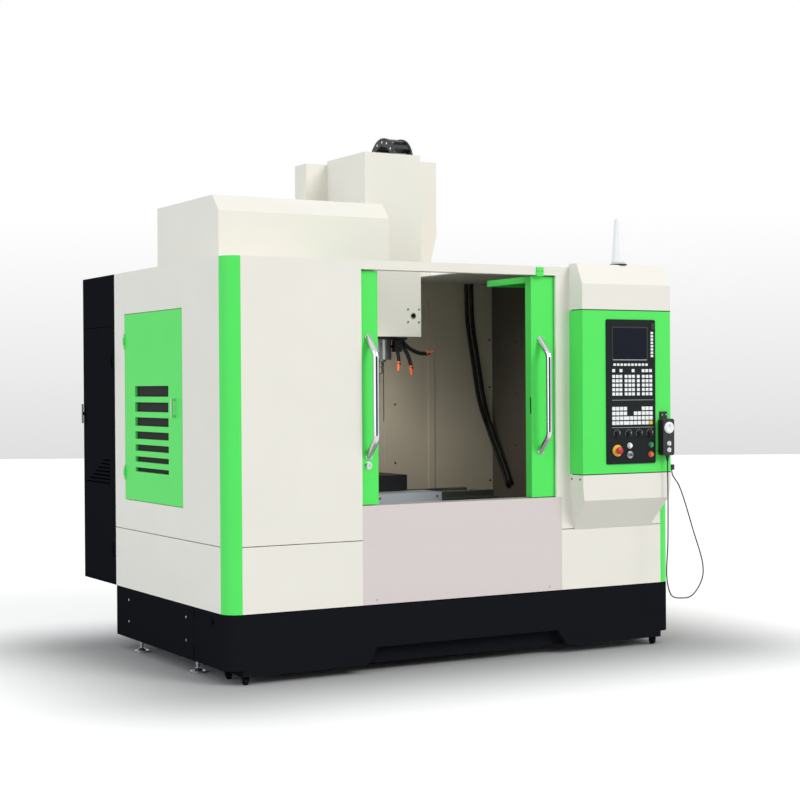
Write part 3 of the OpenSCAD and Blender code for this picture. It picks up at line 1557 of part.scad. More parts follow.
module tool_magazine() {
  pot_d = 64;
  color("gray") translate([magazine_x, magazine_y, wall_top]) {
    translate([0, 0, -roof_t - 6]) cylinder(d = magazine_shaft_d, h = 40);
    cylinder(d = 140, h = 12);
    translate([0, 0, 12]) cylinder(d = 90, h = 90);
    difference() {
      translate([0, 0, 90]) cylinder(r = pot_ring_r + 10, h = 18);
      for (i = [0 : 5]) rotate(i * 60) translate([160, 0, 80]) cylinder(d = 100, h = 40);
    }
    for (i = [0 : pot_n - 1]) rotate(i * 360 / pot_n) translate([pot_ring_r, 0, 50])
        cylinder(d = pot_d, h = 110);
  }
}

machine() base_casting();
machine() column();
machine() leveling_feet();
machine() axis_drives();
machine() side_skirts();
machine() coolant_tank();
machine() side_panels();
machine() front_panels();
machine() lower_guards();
machine() corner_strips();
machine() header_beam();
machine() front_apron();
machine() rear_and_roof_panels();
machine() magazine_hood();
machine() work_area_liner();
machine() chip_tray();
machine() cable_duct();
machine() electrical_cabinet();
machine() drive_rack();
machine() console_housing();
machine() console_box();
machine() control_panel();
machine() panel_screen();
machine() panel_keys();
machine() tower_light();
machine() pendant_body();
machine() pendant_cord();
machine() work_hoses();
machine() left_door();
machine() left_window();
machine() left_handle();
machine() right_door();
machine() right_window();
machine() right_handle();
machine() service_door();
machine() cabinet_door();
machine() saddle();
machine() way_cover();
machine() x_drive();
machine() table();
machine() spindle_head();
machine() head_cover();
machine() spindle_motor();
machine() coolant_nozzles();
machine() cable_chain();
machine() spindle();
machine() cutting_tool();
machine() tool_magazine();
machine() e_stop_button();
machine() cycle_start_button();
machine() feed_hold_button();
machine() reset_button();
machine() key_switch();
machine() mode_knob();
machine() feed_knob();
machine() rapid_knob();
machine() spindle_knob();
machine() handwheel();
machine() axis_selector();
machine() step_selector();
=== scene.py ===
"""Looks of the machining center: finishes, trim, the pendant's cord, light and camera. All in metres."""

import math

import bmesh
import bpy
from mathutils import Matrix, Vector


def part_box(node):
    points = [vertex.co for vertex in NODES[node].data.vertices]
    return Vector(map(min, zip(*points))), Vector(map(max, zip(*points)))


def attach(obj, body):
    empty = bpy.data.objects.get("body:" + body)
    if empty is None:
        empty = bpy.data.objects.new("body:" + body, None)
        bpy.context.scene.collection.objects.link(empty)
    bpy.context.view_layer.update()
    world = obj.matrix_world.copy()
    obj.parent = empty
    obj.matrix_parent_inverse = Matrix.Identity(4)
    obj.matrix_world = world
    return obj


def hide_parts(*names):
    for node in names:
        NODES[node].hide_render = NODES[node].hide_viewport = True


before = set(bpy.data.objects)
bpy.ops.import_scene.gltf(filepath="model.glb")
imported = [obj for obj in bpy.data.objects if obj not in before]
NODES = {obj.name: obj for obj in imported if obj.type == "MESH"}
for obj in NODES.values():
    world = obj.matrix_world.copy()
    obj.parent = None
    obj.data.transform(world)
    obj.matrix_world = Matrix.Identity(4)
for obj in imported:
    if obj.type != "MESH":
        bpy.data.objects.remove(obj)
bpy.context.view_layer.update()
MM = 0.001

# Camera: the photograph's viewpoint, worked out from the enclosure's edges
LENS_MM = 75.7
SENSOR_MM = 36
FAR_CLIP = 200
AZIMUTH = 29.72
PITCH = -0.41
ROLL = -0.359
EYE = Vector((-4.722, -8.5435, 1.471))


def make_camera():
    azimuth, pitch, roll = (math.radians(a) for a in (AZIMUTH, PITCH, ROLL))
    up = Vector((0, 0, 1))
    level = Vector((math.sin(azimuth), math.cos(azimuth), 0))
    forward = level * math.cos(pitch) + up * math.sin(pitch)
    right = forward.cross(up).normalized()
    right = right * math.cos(roll) + right.cross(forward) * math.sin(roll)
    true_up = right.cross(forward)
    data = bpy.data.cameras.new("camera")
    data.lens = LENS_MM
    data.sensor_width = SENSOR_MM
    data.clip_end = FAR_CLIP
    camera = bpy.data.objects.new("camera", data)
    camera.matrix_world = Matrix((right, true_up, -forward)).transposed().to_4x4()
    camera.location = EYE
    bpy.context.collection.objects.link(camera)
    bpy.context.scene.camera = camera


make_camera()


# Finishes


def srgb(r, g, b):
    """A colour as a picture shows it, 0 to 255, as linear light."""
    def linear(v):
        v /= 255
        return v / 12.92 if v <= 0.04045 else ((v + 0.055) / 1.055) ** 2.4
    return linear(r), linear(g), linear(b)


# Colour sockets of a Mix node
MIX_A, MIX_B, MIX_RESULT = 6, 7, 2
# What all finishes share: noise of the shade and the grain, relief, samples for edges, and lowest roughness
SHADE_SCALE, SHADE_DETAIL = 3.0, 2.0
GRAIN_DETAIL = 3.0
RELIEF_DEPTH = 0.4 * MM
EDGE_SAMPLES = 3
GLOSSIEST = 0.02


def finish(name, colour, rough=0.4, metallic=0.0, spread=0.03, grain=900, bump=0.03, edge=1.2 * MM,
           rough_spread=0.06, stretch=(1, 1, 1), transmission=0.0, specular=0.5):
    """A surface with slow changes of shade, fine grain in its gloss and softened edges."""
    material = bpy.data.materials.new(name)
    material.use_nodes = True
    tree = material.node_tree
    make, link = tree.nodes.new, tree.links.new
    shader = tree.nodes["Principled BSDF"]
    shader.inputs["Metallic"].default_value = metallic
    shader.inputs["Transmission Weight"].default_value = transmission
    shader.inputs["Specular IOR Level"].default_value = specular
    place = make("ShaderNodeTexCoord")
    mapping = make("ShaderNodeMapping")
    mapping.inputs["Scale"].default_value = stretch
    link(place.outputs["Object"], mapping.inputs["Vector"])

    def noise(scale, detail):
        node = make("ShaderNodeTexNoise")
        node.inputs["Scale"].default_value = scale
        node.inputs["Detail"].default_value = detail
        link(mapping.outputs["Vector"], node.inputs["Vector"])
        return node.outputs["Fac"]

    shade = make("ShaderNodeMix")
    shade.data_type = "RGBA"
    link(noise(SHADE_SCALE, SHADE_DETAIL), shade.inputs["Factor"])
    for socket, factor in ((MIX_A, 1 - spread), (MIX_B, 1 + spread)):
        shade.inputs[socket].default_value = (*(min(1.0, c * factor) for c in colour), 1)
    link(shade.outputs[MIX_RESULT], shader.inputs["Base Color"])
    fine = noise(grain, GRAIN_DETAIL)
    gloss = make("ShaderNodeMapRange")
    gloss.inputs["To Min"].default_value = max(GLOSSIEST, rough - rough_spread)
    gloss.inputs["To Max"].default_value = min(1.0, rough + rough_spread)
    link(fine, gloss.inputs["Value"])
    link(gloss.outputs["Result"], shader.inputs["Roughness"])
    relief = make("ShaderNodeBump")
    relief.inputs["Strength"].default_value = bump
    relief.inputs["Distance"].default_value = RELIEF_DEPTH
    link(fine, relief.inputs["Height"])
    if edge:
        soft = make("ShaderNodeBevel")
        soft.samples = EDGE_SAMPLES
        soft.inputs["Radius"].default_value = edge
        link(soft.outputs["Normal"], relief.inputs["Normal"])
    link(relief.outputs["Normal"], shader.inputs["Normal"])
    return material


CREAM = finish("cream powder coat", srgb(233, 230, 219), 0.42, specular=0.4)
GREEN = finish("green powder coat", srgb(86, 232, 98), 0.42, specular=0.25)
BLACK = finish("black powder coat", srgb(25, 26, 30), 0.55, bump=0.06, specular=0.0)
APRON = finish("grey satin sheet", srgb(214, 204, 202), 0.36, 0.1, stretch=(0.05, 1, 1), grain=600)
LINER = finish("work area sheet", srgb(205, 195, 177), 0.4, spread=0.08, specular=0.3)
# Work area sheet darkened as painted shade, for the right wall that lies in shade
LINER_PAINTED_SHADE = finish("work area sheet with painted shade", srgb(100, 94, 86), 0.4, spread=0.1, specular=0.15)
PAN = finish("chip pan", srgb(82, 78, 72), 0.4, spread=0.1, specular=0.3)
IRON = finish("cast iron paint", srgb(96, 98, 98), 0.55, bump=0.15, spread=0.08)
TABLE = finish("blackened iron", srgb(34, 35, 38), 0.4, 0.3, stretch=(0.1, 1, 1), grain=700, specular=0.2)
COVER = finish("way cover paint", srgb(188, 193, 200), 0.4)
STEEL = finish("ground steel", srgb(185, 186, 188), 0.25, 0.9, stretch=(1, 1, 0.1), grain=700)
CHROME = finish("chrome", srgb(215, 217, 220), 0.08, 1.0, rough_spread=0.03, bump=0.0, edge=0)
PLASTIC = finish("black plastic", srgb(24, 25, 27), 0.45, bump=0.08, edge=0.6 * MM)
PANEL = finish("panel film", srgb(28, 32, 34), 0.5, bump=0.05, edge=0.5 * MM, specular=0.12)
SCREEN = finish("display glass", srgb(16, 21, 33), 0.1, rough_spread=0.02, bump=0.0, edge=0, specular=0.15)
KEYS = finish("key caps", srgb(238, 240, 240), 0.45, edge=0.5 * MM)
RUBBER = finish("cord jacket", srgb(20, 20, 21), 0.5, bump=0.05, edge=0)
HOSE = finish("hose jacket", srgb(20, 20, 21), 0.28, bump=0.05, edge=0)
GLASS = finish("window pane", srgb(190, 205, 205), 0.05, rough_spread=0.02, bump=0.0, edge=0,
               transmission=0.85)
LAMP = finish("lamp lens", srgb(243, 244, 244), 0.3, edge=0.8 * MM)
RED = finish("red cap", srgb(196, 30, 28), 0.35, edge=0.5 * MM)
YELLOW = finish("yellow ring", srgb(240, 196, 70), 0.4, edge=0.5 * MM)
LEAF = finish("green button", srgb(60, 140, 80), 0.35, edge=0.5 * MM)
ORANGE = finish("orange", srgb(232, 112, 60), 0.4, edge=0.5 * MM)
HEATSINK = finish("drive housings", srgb(170, 172, 172), 0.4, 0.6)
# Near-black finish for painted shade: dark pieces put where there is only shade
PAINTED_SHADE = finish("unlit inside", srgb(10, 10, 10), 0.9, bump=0.0, edge=0)

NODE_FINISH = {
    CREAM: ["side_panels", "front_panels", "lower_guards", "header_beam", "rear_and_roof_panels",
            "magazine_hood", "cable_duct", "console_housing", "head_cover"],
    GREEN: ["corner_strips", "console_box", "left_door", "right_door", "service_door"],
    BLACK: ["side_skirts", "coolant_tank", "electrical_cabinet", "cabinet_door", "spindle_motor"],
    APRON: ["front_apron"],
    LINER: ["work_area_liner"],
    PAN: ["chip_tray"],
    IRON: ["base_casting", "column", "saddle", "spindle_head"],
    TABLE: ["table"],
    COVER: ["way_cover"],
    STEEL: ["leveling_feet", "axis_drives", "x_drive", "spindle", "cutting_tool", "tool_magazine",
            "key_switch"],
    CHROME: ["left_handle", "right_handle"],
    PLASTIC: ["coolant_nozzles", "cable_chain", "pendant_body", "mode_knob", "feed_knob", "rapid_knob",
              "spindle_knob"],
    PANEL: ["control_panel"],
    SCREEN: ["panel_screen"],
    KEYS: ["panel_keys", "reset_button", "handwheel", "axis_selector", "step_selector"],
    RUBBER: ["pendant_cord"],
    HOSE: ["work_hoses"],
    GLASS: ["left_window", "right_window"],
    LAMP: ["tower_light"],
    RED: ["e_stop_button"],
    LEAF: ["cycle_start_button"],
    ORANGE: ["feed_hold_button"],
    HEATSINK: ["drive_rack"],
}
for material, names in NODE_FINISH.items():
    for name in names:
        mesh = NODES[name].data
        mesh.materials.clear()
        mesh.materials.append(material)
left_over = set(NODES) - {n for names in NODE_FINISH.values() for n in names}
if left_over:
    raise SystemExit("nodes with no finish: " + ", ".join(sorted(left_over)))


def repaint(node, material, low, high):
    """Gives a second finish to a node's faces whose middles lie in a box, in metres."""
    obj = NODES[node]
    obj.data.materials.append(material)
    for face in obj.data.polygons:
        spot = obj.matrix_world @ face.center
        if all(a <= v <= b for a, v, b in zip(low, spot, high)):
            face.material_index = len(obj.data.materials) - 1


# A repaint's box ends a hair from the faces that it takes or leaves, or well past the node
HAIR = 0.1 * MM
PAST = Vector((1, 1, 1))

# Chrome pulls on the left side, and the black gland under the console
PULL_REACH = 26 * MM
DOOR_PULL_DEPTH = 0.2
CABINET_PULL_DEPTH, CABINET_PULL_LOW, CABINET_PULL_HIGH = 0.05, 1.2, 1.45
door_low, door_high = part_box("service_door")
repaint("service_door", CHROME, door_low - PAST,
        Vector((door_low.x + PULL_REACH - HAIR, door_low.y + DOOR_PULL_DEPTH, door_high.z)))
door_low, door_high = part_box("cabinet_door")
repaint("cabinet_door", CHROME,
        Vector((door_low.x - PAST.x, door_high.y - CABINET_PULL_DEPTH, CABINET_PULL_LOW)),
        Vector((door_low.x + PULL_REACH - HAIR, door_high.y, CABINET_PULL_HIGH)))
box_low, box_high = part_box("console_box")
house_low, house_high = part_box("console_housing")
repaint("console_box", PLASTIC, Vector((house_high.x + HAIR, box_low.y, box_low.z)), box_high + PAST)

# Ground quill under the head, sheet finish on the leaf behind it, and painted shade on the work area's right
# wall: a darker sheet where the wall lies in shade
SHEET = 3 * MM
WALL_TO_REAR = 6.2 * MM
WALL_TO_LEAF = 6.6 * MM
QUILL_R = 75 * MM
liner_low, liner_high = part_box("work_area_liner")
head_low, head_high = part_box("head_cover")
spindle_low, spindle_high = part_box("spindle")
spindle_mid = (spindle_low + spindle_high) / 2
BACK_Y = liner_high.y - WALL_TO_REAR
RIGHT_X = liner_high.x - SHEET
LEAF_Y = BACK_Y + WALL_TO_LEAF
repaint("spindle_head", STEEL, Vector((spindle_mid.x - QUILL_R, spindle_mid.y - QUILL_R, 0)),
        Vector((spindle_mid.x + QUILL_R, spindle_mid.y + QUILL_R, head_low.z)))
repaint("spindle_head", LINER, Vector((-PAST.x, LEAF_Y - HAIR, 0)),
        Vector((PAST.x, LEAF_Y + SHEET + HAIR, head_high.z)))
repaint("work_area_liner", LINER_PAINTED_SHADE, Vector((RIGHT_X - HAIR, -PAST.y, 0)), liner_high)


# Building pieces

SMOOTH_ANGLE = math.radians(30)
TURN = {"x": Matrix.Rotation(math.pi / 2, 4, "Y"), "y": Matrix.Rotation(-math.pi / 2, 4, "X"), "z": Matrix()}


class Shape:
    """Collects simple forms into one mesh piece."""

    def __init__(self):
        self.mesh = bmesh.new()

    def box(self, low, high):
        low, high = Vector(low), Vector(high)
        size = high - low
        place = Matrix.Translation((low + high) / 2) @ Matrix.Diagonal((*size, 1))
        bmesh.ops.create_cube(self.mesh, size=1, matrix=place)

    def rod(self, start, axis, radius, length, end_radius=None, segments=32, matrix=None):
        """A rod or cone from start along an axis."""
        turn = TURN[axis] if matrix is None else matrix
        place = Matrix.Translation(Vector(start)) @ turn @ Matrix.Translation((0, 0, length / 2))
        far_radius = radius if end_radius is None else end_radius
        bmesh.ops.create_cone(self.mesh, cap_ends=True, segments=segments, radius1=radius, radius2=far_radius,
                              depth=length, matrix=place)

    def ring(self, start, axis, outer, inner, length, segments=48):
        """A flat ring from start along an axis."""
        place = Matrix.Translation(Vector(start)) @ TURN[axis]
        angles = [2 * math.pi * i / segments for i in range(segments)]
        loops = []
        for radius, height in ((outer, 0), (outer, length), (inner, length), (inner, 0)):
            spots = [Vector((radius * math.cos(angle), radius * math.sin(angle), height)) for angle in angles]
            loops.append([self.mesh.verts.new(place @ spot) for spot in spots])
        for k in range(4):
            a, b = loops[k], loops[(k + 1) % 4]
            for i in range(segments):
                j = (i + 1) % segments
                self.mesh.faces.new((a[i], a[j], b[j], b[i]))

    def piece(self, name, material, body):
        bmesh.ops.recalc_face_normals(self.mesh, faces=self.mesh.faces)
        data = bpy.data.meshes.new(name)
        self.mesh.to_mesh(data)
        self.mesh.free()
        data.materials.append(material)
        data.shade_smooth()
        data.set_sharp_from_angle(angle=SMOOTH_ANGLE)
        obj = bpy.data.objects.new(name, data)
        bpy.context.collection.objects.link(obj)
        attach(obj, body)
        return obj


def middle(node):
    low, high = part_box(node)
    return (low + high) / 2


def mm(x, y, z):
    return Vector((x, y, z)) * MM


# The pendant's cord: it hangs in a loop from the strain relief and comes up to the gland on the console

CORD_RADIUS = 3.5 * MM
CORD_STEPS = 8
CORD_ROUNDNESS = 4
LOOP_LOW = 277 * MM
LOOP_SIDE = 226 * MM
pendant_low, pendant_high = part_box("pendant_body")
cord_out = Vector(((pendant_low.x + pendant_high.x) / 2, pendant_low.y, pendant_low.z)) + mm(8, 22.5, 0)
cord_in = Vector((box_high.x, box_low.y, box_low.z)) + mm(-10, 17, 10)
cord_knots = [
    cord_out, cord_out - mm(0, 0, 20), cord_out - mm(0, 0, 40), cord_out - mm(-2, 0, 190),
    Vector((cord_out.x, cord_out.y, LOOP_LOW + 330 * MM)),
    Vector((cord_out.x, cord_out.y, LOOP_LOW)) + mm(-6, 2, 110),
    Vector((cord_out.x, cord_out.y, LOOP_LOW)) + mm(30, 5, 18),
    Vector((cord_out.x, cord_out.y, LOOP_LOW)) + mm(100, 10, 0),
    Vector((cord_out.x, cord_out.y, LOOP_LOW)) + mm(180, 14, 8),
    Vector((cord_in.x + LOOP_SIDE, cord_in.y, LOOP_LOW)) + mm(-32, -24, 92),
    Vector((cord_in.x + LOOP_SIDE, cord_in.y, LOOP_LOW)) + mm(-20, -21, 170),
    Vector((cord_in.x, cord_in.y, LOOP_LOW)) + mm(141, -14, 378),
    cord_in + mm(48, -5, -90), cord_in + mm(6, -1, -30), cord_in,
]


def through(knots, steps):
    """Points on a smooth curve through the knots, each stretch timed by the root of its length."""
    gaps = [(b - a).length ** 0.5 for a, b in zip(knots, knots[1:])]
    runs = [(b - a) / gap for a, b, gap in zip(knots, knots[1:], gaps)]
    slopes = [runs[0]]
    for i in range(1, len(runs)):
        slopes.append((runs[i - 1] * gaps[i] + runs[i] * gaps[i - 1]) / (gaps[i - 1] + gaps[i]))
    slopes.append(runs[-1])
    points = []
    for i, gap in enumerate(gaps):
        for k in range(steps):
            u = k / steps
            points.append(knots[i] * (1 - u) ** 2 * (1 + 2 * u) + knots[i + 1] * u * u * (3 - 2 * u)
                          + gap * u * (1 - u) * (slopes[i] * (1 - u) - slopes[i + 1] * u))
    points.append(knots[-1])
    return points


cord_points = through(cord_knots, CORD_STEPS)
curve = bpy.data.curves.new("pendant_cord_line", "CURVE")
curve.dimensions = "3D"
curve.bevel_depth = CORD_RADIUS
curve.bevel_resolution = CORD_ROUNDNESS
spline = curve.splines.new("POLY")
spline.points.add(len(cord_points) - 1)
for point, spot in zip(spline.points, cord_points):
    point.co = (*spot, 1)
curve.materials.append(RUBBER)
cord = bpy.data.objects.new("pendant_cord_line", curve)
bpy.context.collection.objects.link(cord)
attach(cord, "frame")
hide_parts("pendant_cord")


# Dark strips over and under the console's green box: the joint gaps, with painted shade in them
SEAM_H, SEAM_RISE, SEAM_DEPTH = 5 * MM, 0.6 * MM, 1 * MM
SEAM_RUN = 100 * MM
seams = Shape()
for z in (box_low.z - SEAM_H / 2, box_high.z - SEAM_H / 2):
    seams.box((house_low.x - SEAM_RISE, house_low.y - SEAM_RISE, z),
              (house_high.x + SEAM_RISE, house_low.y + SEAM_DEPTH, z + SEAM_H))
    seams.box((house_low.x - SEAM_RISE, house_low.y + SEAM_DEPTH, z),
              (house_low.x + SEAM_DEPTH, house_low.y + SEAM_RUN, z + SEAM_H))
seams.piece("console_seams", PAINTED_SHADE, "frame")


# Controls on the console

panel_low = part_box("control_panel")[0]
keys_low, keys_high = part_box("panel_keys")
FACE_Y = keys_high.y
KEY_RISE = FACE_Y - keys_low.y


def on_panel(x, z):
    """A point on the control panel's face, from its left and bottom edges in millimetres."""
    return Vector((panel_low.x + x * MM, FACE_Y, panel_low.z + z * MM))


def front_rod(shape, spot, radius, rise, **sizes):
    shape.rod(spot - Vector((0, rise, 0)), "y", radius, rise, **sizes)


def front_ring(shape, spot, outer, inner, rise):
    shape.ring(spot - Vector((0, rise, 0)), "y", outer, inner, rise)


def front_plate(shape, low, high, rise):
    shape.box(low - Vector((0, rise, 0)), high)


# Rings, each with its outer radius, inner radius and rise
STOP_AT = (71, 75)
STOP_RING = (32 * MM, 9 * MM, 4.6 * MM)
BEZEL_RING = (16 * MM, 12 * MM, 4.6 * MM)
COLLAR_RING = (20 * MM, 14.5 * MM, 3.5 * MM)
stop_ring = Shape()
front_ring(stop_ring, on_panel(*STOP_AT), *STOP_RING)
stop_ring.piece("e_stop_ring", YELLOW, "frame")

for name, x, z, material, slot in (("reset_bezel", 156, 101, KEYS, "key_white"),
                                   ("start_bezel", 303, 102, LEAF, "button_green"),
                                   ("hold_bezel", 303, 49, ORANGE, "button_orange")):
    bezel = Shape()
    front_ring(bezel, on_panel(x, z), *BEZEL_RING)
    bezel.piece(name, material, "frame")
key_middle = middle("key_switch")
collar = Shape()
front_ring(collar, Vector((key_middle.x, FACE_Y, key_middle.z)), *COLLAR_RING)
collar.piece("key_collar", STEEL, "frame")

# Dark flap over the socket at the panel's top right
FLAP_LOW, FLAP_HIGH = (309, 745), (329, 781)
FLAP_PROUD = 1 * MM
flap = Shape()
front_plate(flap, on_panel(*FLAP_LOW), on_panel(*FLAP_HIGH), KEY_RISE + FLAP_PROUD)
flap.piece("socket_flap", PLASTIC, "frame")

# Rim round the screen, with a bright lip along its lower side
RIM_W, RIM_RISE = 7 * MM, 3.2 * MM
LIP_INSET, LIP_PROUD = 1.5 * MM, 0.4 * MM
screen_low, screen_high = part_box("panel_screen")
rim = Shape()
for low_x, high_x, low_z, high_z in (
        (screen_low.x - RIM_W, screen_low.x, screen_low.z - RIM_W, screen_high.z + RIM_W),
        (screen_high.x, screen_high.x + RIM_W, screen_low.z - RIM_W, screen_high.z + RIM_W),
        (screen_low.x, screen_high.x, screen_low.z - RIM_W, screen_low.z),
        (screen_low.x, screen_high.x, screen_high.z, screen_high.z + RIM_W)):
    front_plate(rim, Vector((low_x, FACE_Y, low_z)), Vector((high_x, FACE_Y, high_z)), RIM_RISE)
rim.piece("screen_rim", PLASTIC, "frame")
lip = Shape()
front_plate(lip, Vector((screen_low.x, FACE_Y, screen_low.z - RIM_W + LIP_INSET)),
            Vector((screen_high.x, FACE_Y, screen_low.z - LIP_INSET)), RIM_RISE + LIP_PROUD)
lip.piece("screen_lip", STEEL, "frame")

# Thin bright lines that part the panel's fields
DIVIDE_HEIGHTS = (352, 200)
DIVIDE_LEFT, DIVIDE_RIGHT, DIVIDE_W = 36, 324, 2.5
DIVIDE_RISE = 0.8 * MM
divides = Shape()
for z in DIVIDE_HEIGHTS:
    front_plate(divides, on_panel(DIVIDE_LEFT, z), on_panel(DIVIDE_RIGHT, z + DIVIDE_W), DIVIDE_RISE)
divides.piece("panel_divides", HEATSINK, "frame")

# Scales of short marks round the rotary knobs, and a pointer on each knob
KNOB_NODES = ("mode_knob", "feed_knob", "rapid_knob", "spindle_knob")
MARKS, FIRST_MARK, MARK_SWEEP = 9, -20, 220
MARK_AT, MARK_RISE = 23 * MM, 0.5 * MM
MARK_HALF = mm(1.3, 0, 1.3)
POINTER_LOW, POINTER_HIGH = mm(-1, -0.5, 2), mm(1, 0.5, 10)
scales = Shape()
for node in KNOB_NODES:
    centre = middle(node)
    for k in range(MARKS):
        angle = math.radians(FIRST_MARK + MARK_SWEEP * k / (MARKS - 1))
        spot = Vector((centre.x + MARK_AT * math.cos(angle), FACE_Y, centre.z + MARK_AT * math.sin(angle)))
        front_plate(scales, spot - MARK_HALF, spot + MARK_HALF, MARK_RISE)
scales.piece("knob_scales", KEYS, "frame")
for node in KNOB_NODES:
    centre = middle(node)
    cap = Vector((centre.x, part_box(node)[0].y, centre.z))
    pointer = Shape()
    pointer.box(cap + POINTER_LOW, cap + POINTER_HIGH)
    pointer.piece(node + "_pointer", KEYS, node)

# One yellow key among the white ones
WARM_KEY_LOW, WARM_KEY_HIGH = (294, 216.5), (316, 236.5)
WARM_KEY_RISE = 2.5 * MM
warm_key = Shape()
front_plate(warm_key, on_panel(*WARM_KEY_LOW), on_panel(*WARM_KEY_HIGH), WARM_KEY_RISE)
warm_key.piece("yellow_key", YELLOW, "frame")

# Gasket over the lamp's foot
GASKET_RING = (48.6 * MM, 37.4 * MM, 7.6 * MM)
lamp = middle("tower_light")
gasket = Shape()
gasket.ring((lamp.x, lamp.y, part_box("tower_light")[0].z), "z", *GASKET_RING)
gasket.piece("lamp_gasket", RUBBER, "frame")


# Trim on the enclosure, the doors and the head; a screw has a radius and a rise

# Facets of small round pieces
SIDES, FEW_SIDES = 20, 16

# Bright screws on the skirts
SKIRT_SCREW_R, SKIRT_SCREW_L = 6 * MM, 1 * MM
SKIRT_SCREWS_Y, SKIRT_SCREWS_Z = (523, 1355), (95, 215)
SKIRT_FACE = 8.4 * MM
skirt_low, skirt_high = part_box("side_skirts")
skirt_screws = Shape()
for y in SKIRT_SCREWS_Y:
    for z in SKIRT_SCREWS_Z:
        for x in (skirt_low.x + SKIRT_FACE, skirt_high.x - SKIRT_FACE - SKIRT_SCREW_L):
            spot = (x, skirt_low.y + y * MM, skirt_low.z + z * MM)
            skirt_screws.rod(spot, "x", SKIRT_SCREW_R, SKIRT_SCREW_L, segments=SIDES)
skirt_screws.piece("skirt_screws", STEEL, "frame")

# Lock under the left door's handle, with its keyhole, a dark box of painted shade
LOCK_ASIDE, LOCK_DROP = 3 * MM, 29 * MM
FLANGE_BACK = mm(0, 12, 0)
FLANGE_RING = (21 * MM, 15.3 * MM, 4 * MM)
LOCK_RING = (15.2 * MM, 9 * MM, 2.5 * MM)
LOCK_CORE = (8 * MM, 1.5 * MM)
KEYHOLE_LOW, KEYHOLE_HIGH = mm(-1, -2.2, -5), mm(1, -1.5, 5)
grip_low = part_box("left_handle")[0]
lock = Vector((middle("left_handle").x - LOCK_ASIDE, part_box("left_door")[0].y, grip_low.z - LOCK_DROP))
lock_face = Shape()
front_ring(lock_face, lock + FLANGE_BACK, *FLANGE_RING)
front_ring(lock_face, lock, *LOCK_RING)
front_rod(lock_face, lock, *LOCK_CORE)
lock_face.piece("door_lock", CHROME, "left_door")
keyhole = Shape()
keyhole.box(lock + KEYHOLE_LOW, lock + KEYHOLE_HIGH)
keyhole.piece("door_keyhole", PAINTED_SHADE, "left_door")

# Port and screws on the head cover's front
PORT_DEPTH = 3
PORT_RING = (18 * MM, 12 * MM, 2 * MM)
PORT_SCREW = (5.2 * MM, 0.6 * MM)
PORT_SCREWS_AT = (-36, 36)
port = Vector((spindle_mid.x, head_low.y, head_low.z)) + mm(130, PORT_DEPTH, 120)
port_ring = Shape()
front_ring(port_ring, port, *PORT_RING)
port_ring.piece("port_ring", STEEL, "head")
port_screws = Shape()
for x in PORT_SCREWS_AT:
    for z in PORT_SCREWS_AT:
        front_rod(port_screws, port + mm(x, -PORT_DEPTH, z), *PORT_SCREW, segments=FEW_SIDES)
port_screws.piece("port_screws", PLASTIC, "head")

# Pale pins in the cable chain's bend, in all links but its first and last
CHAIN_R, PIN_AT, LINKS = 150 * MM, 127 * MM, 7
PIN_R, PIN_L = 6.6 * MM, 8 * MM
chain_low, chain_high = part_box("cable_chain")
bend_mid = Vector((chain_low.x, (chain_low.y + chain_high.y) / 2, chain_high.z - CHAIN_R))
pins = Shape()
for i in range(1, LINKS - 1):
    angle = math.pi * (i + 0.5) / LINKS
    spot = bend_mid + Vector((0, PIN_AT * math.cos(angle), PIN_AT * math.sin(angle)))
    pins.rod(spot, "x", PIN_R, PIN_L, segments=SIDES)
pins.piece("chain_pins", KEYS, "head")

# Screws on the front of the way cover
COVER_SCREW = (7 * MM, 2 * MM)
COVER_SCREW_LEFT, COVER_SCREW_RIGHT, COVER_SCREW_DROP = 60 * MM, 30 * MM, 24 * MM
cover_low, cover_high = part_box("way_cover")
cover_screws = Shape()
for x in (cover_low.x + COVER_SCREW_LEFT, cover_high.x - COVER_SCREW_RIGHT):
    spot = Vector((x, cover_low.y, cover_high.z - COVER_SCREW_DROP))
    front_rod(cover_screws, spot, *COVER_SCREW, segments=SIDES)
cover_screws.piece("way_cover_screws", STEEL, "saddle")

# Catch slot on the right door's free edge, a dark box of painted shade
CATCH_LOW, CATCH_HIGH = mm(-0.6, 29, -100), mm(1, 39, -10)
right_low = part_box("right_door")[0]
door_edge = Vector((right_low.x, right_low.y, middle("right_handle").z))
catch = Shape()
catch.box(door_edge + CATCH_LOW, door_edge + CATCH_HIGH)
catch.piece("door_catch_shade", PAINTED_SHADE, "right_door")

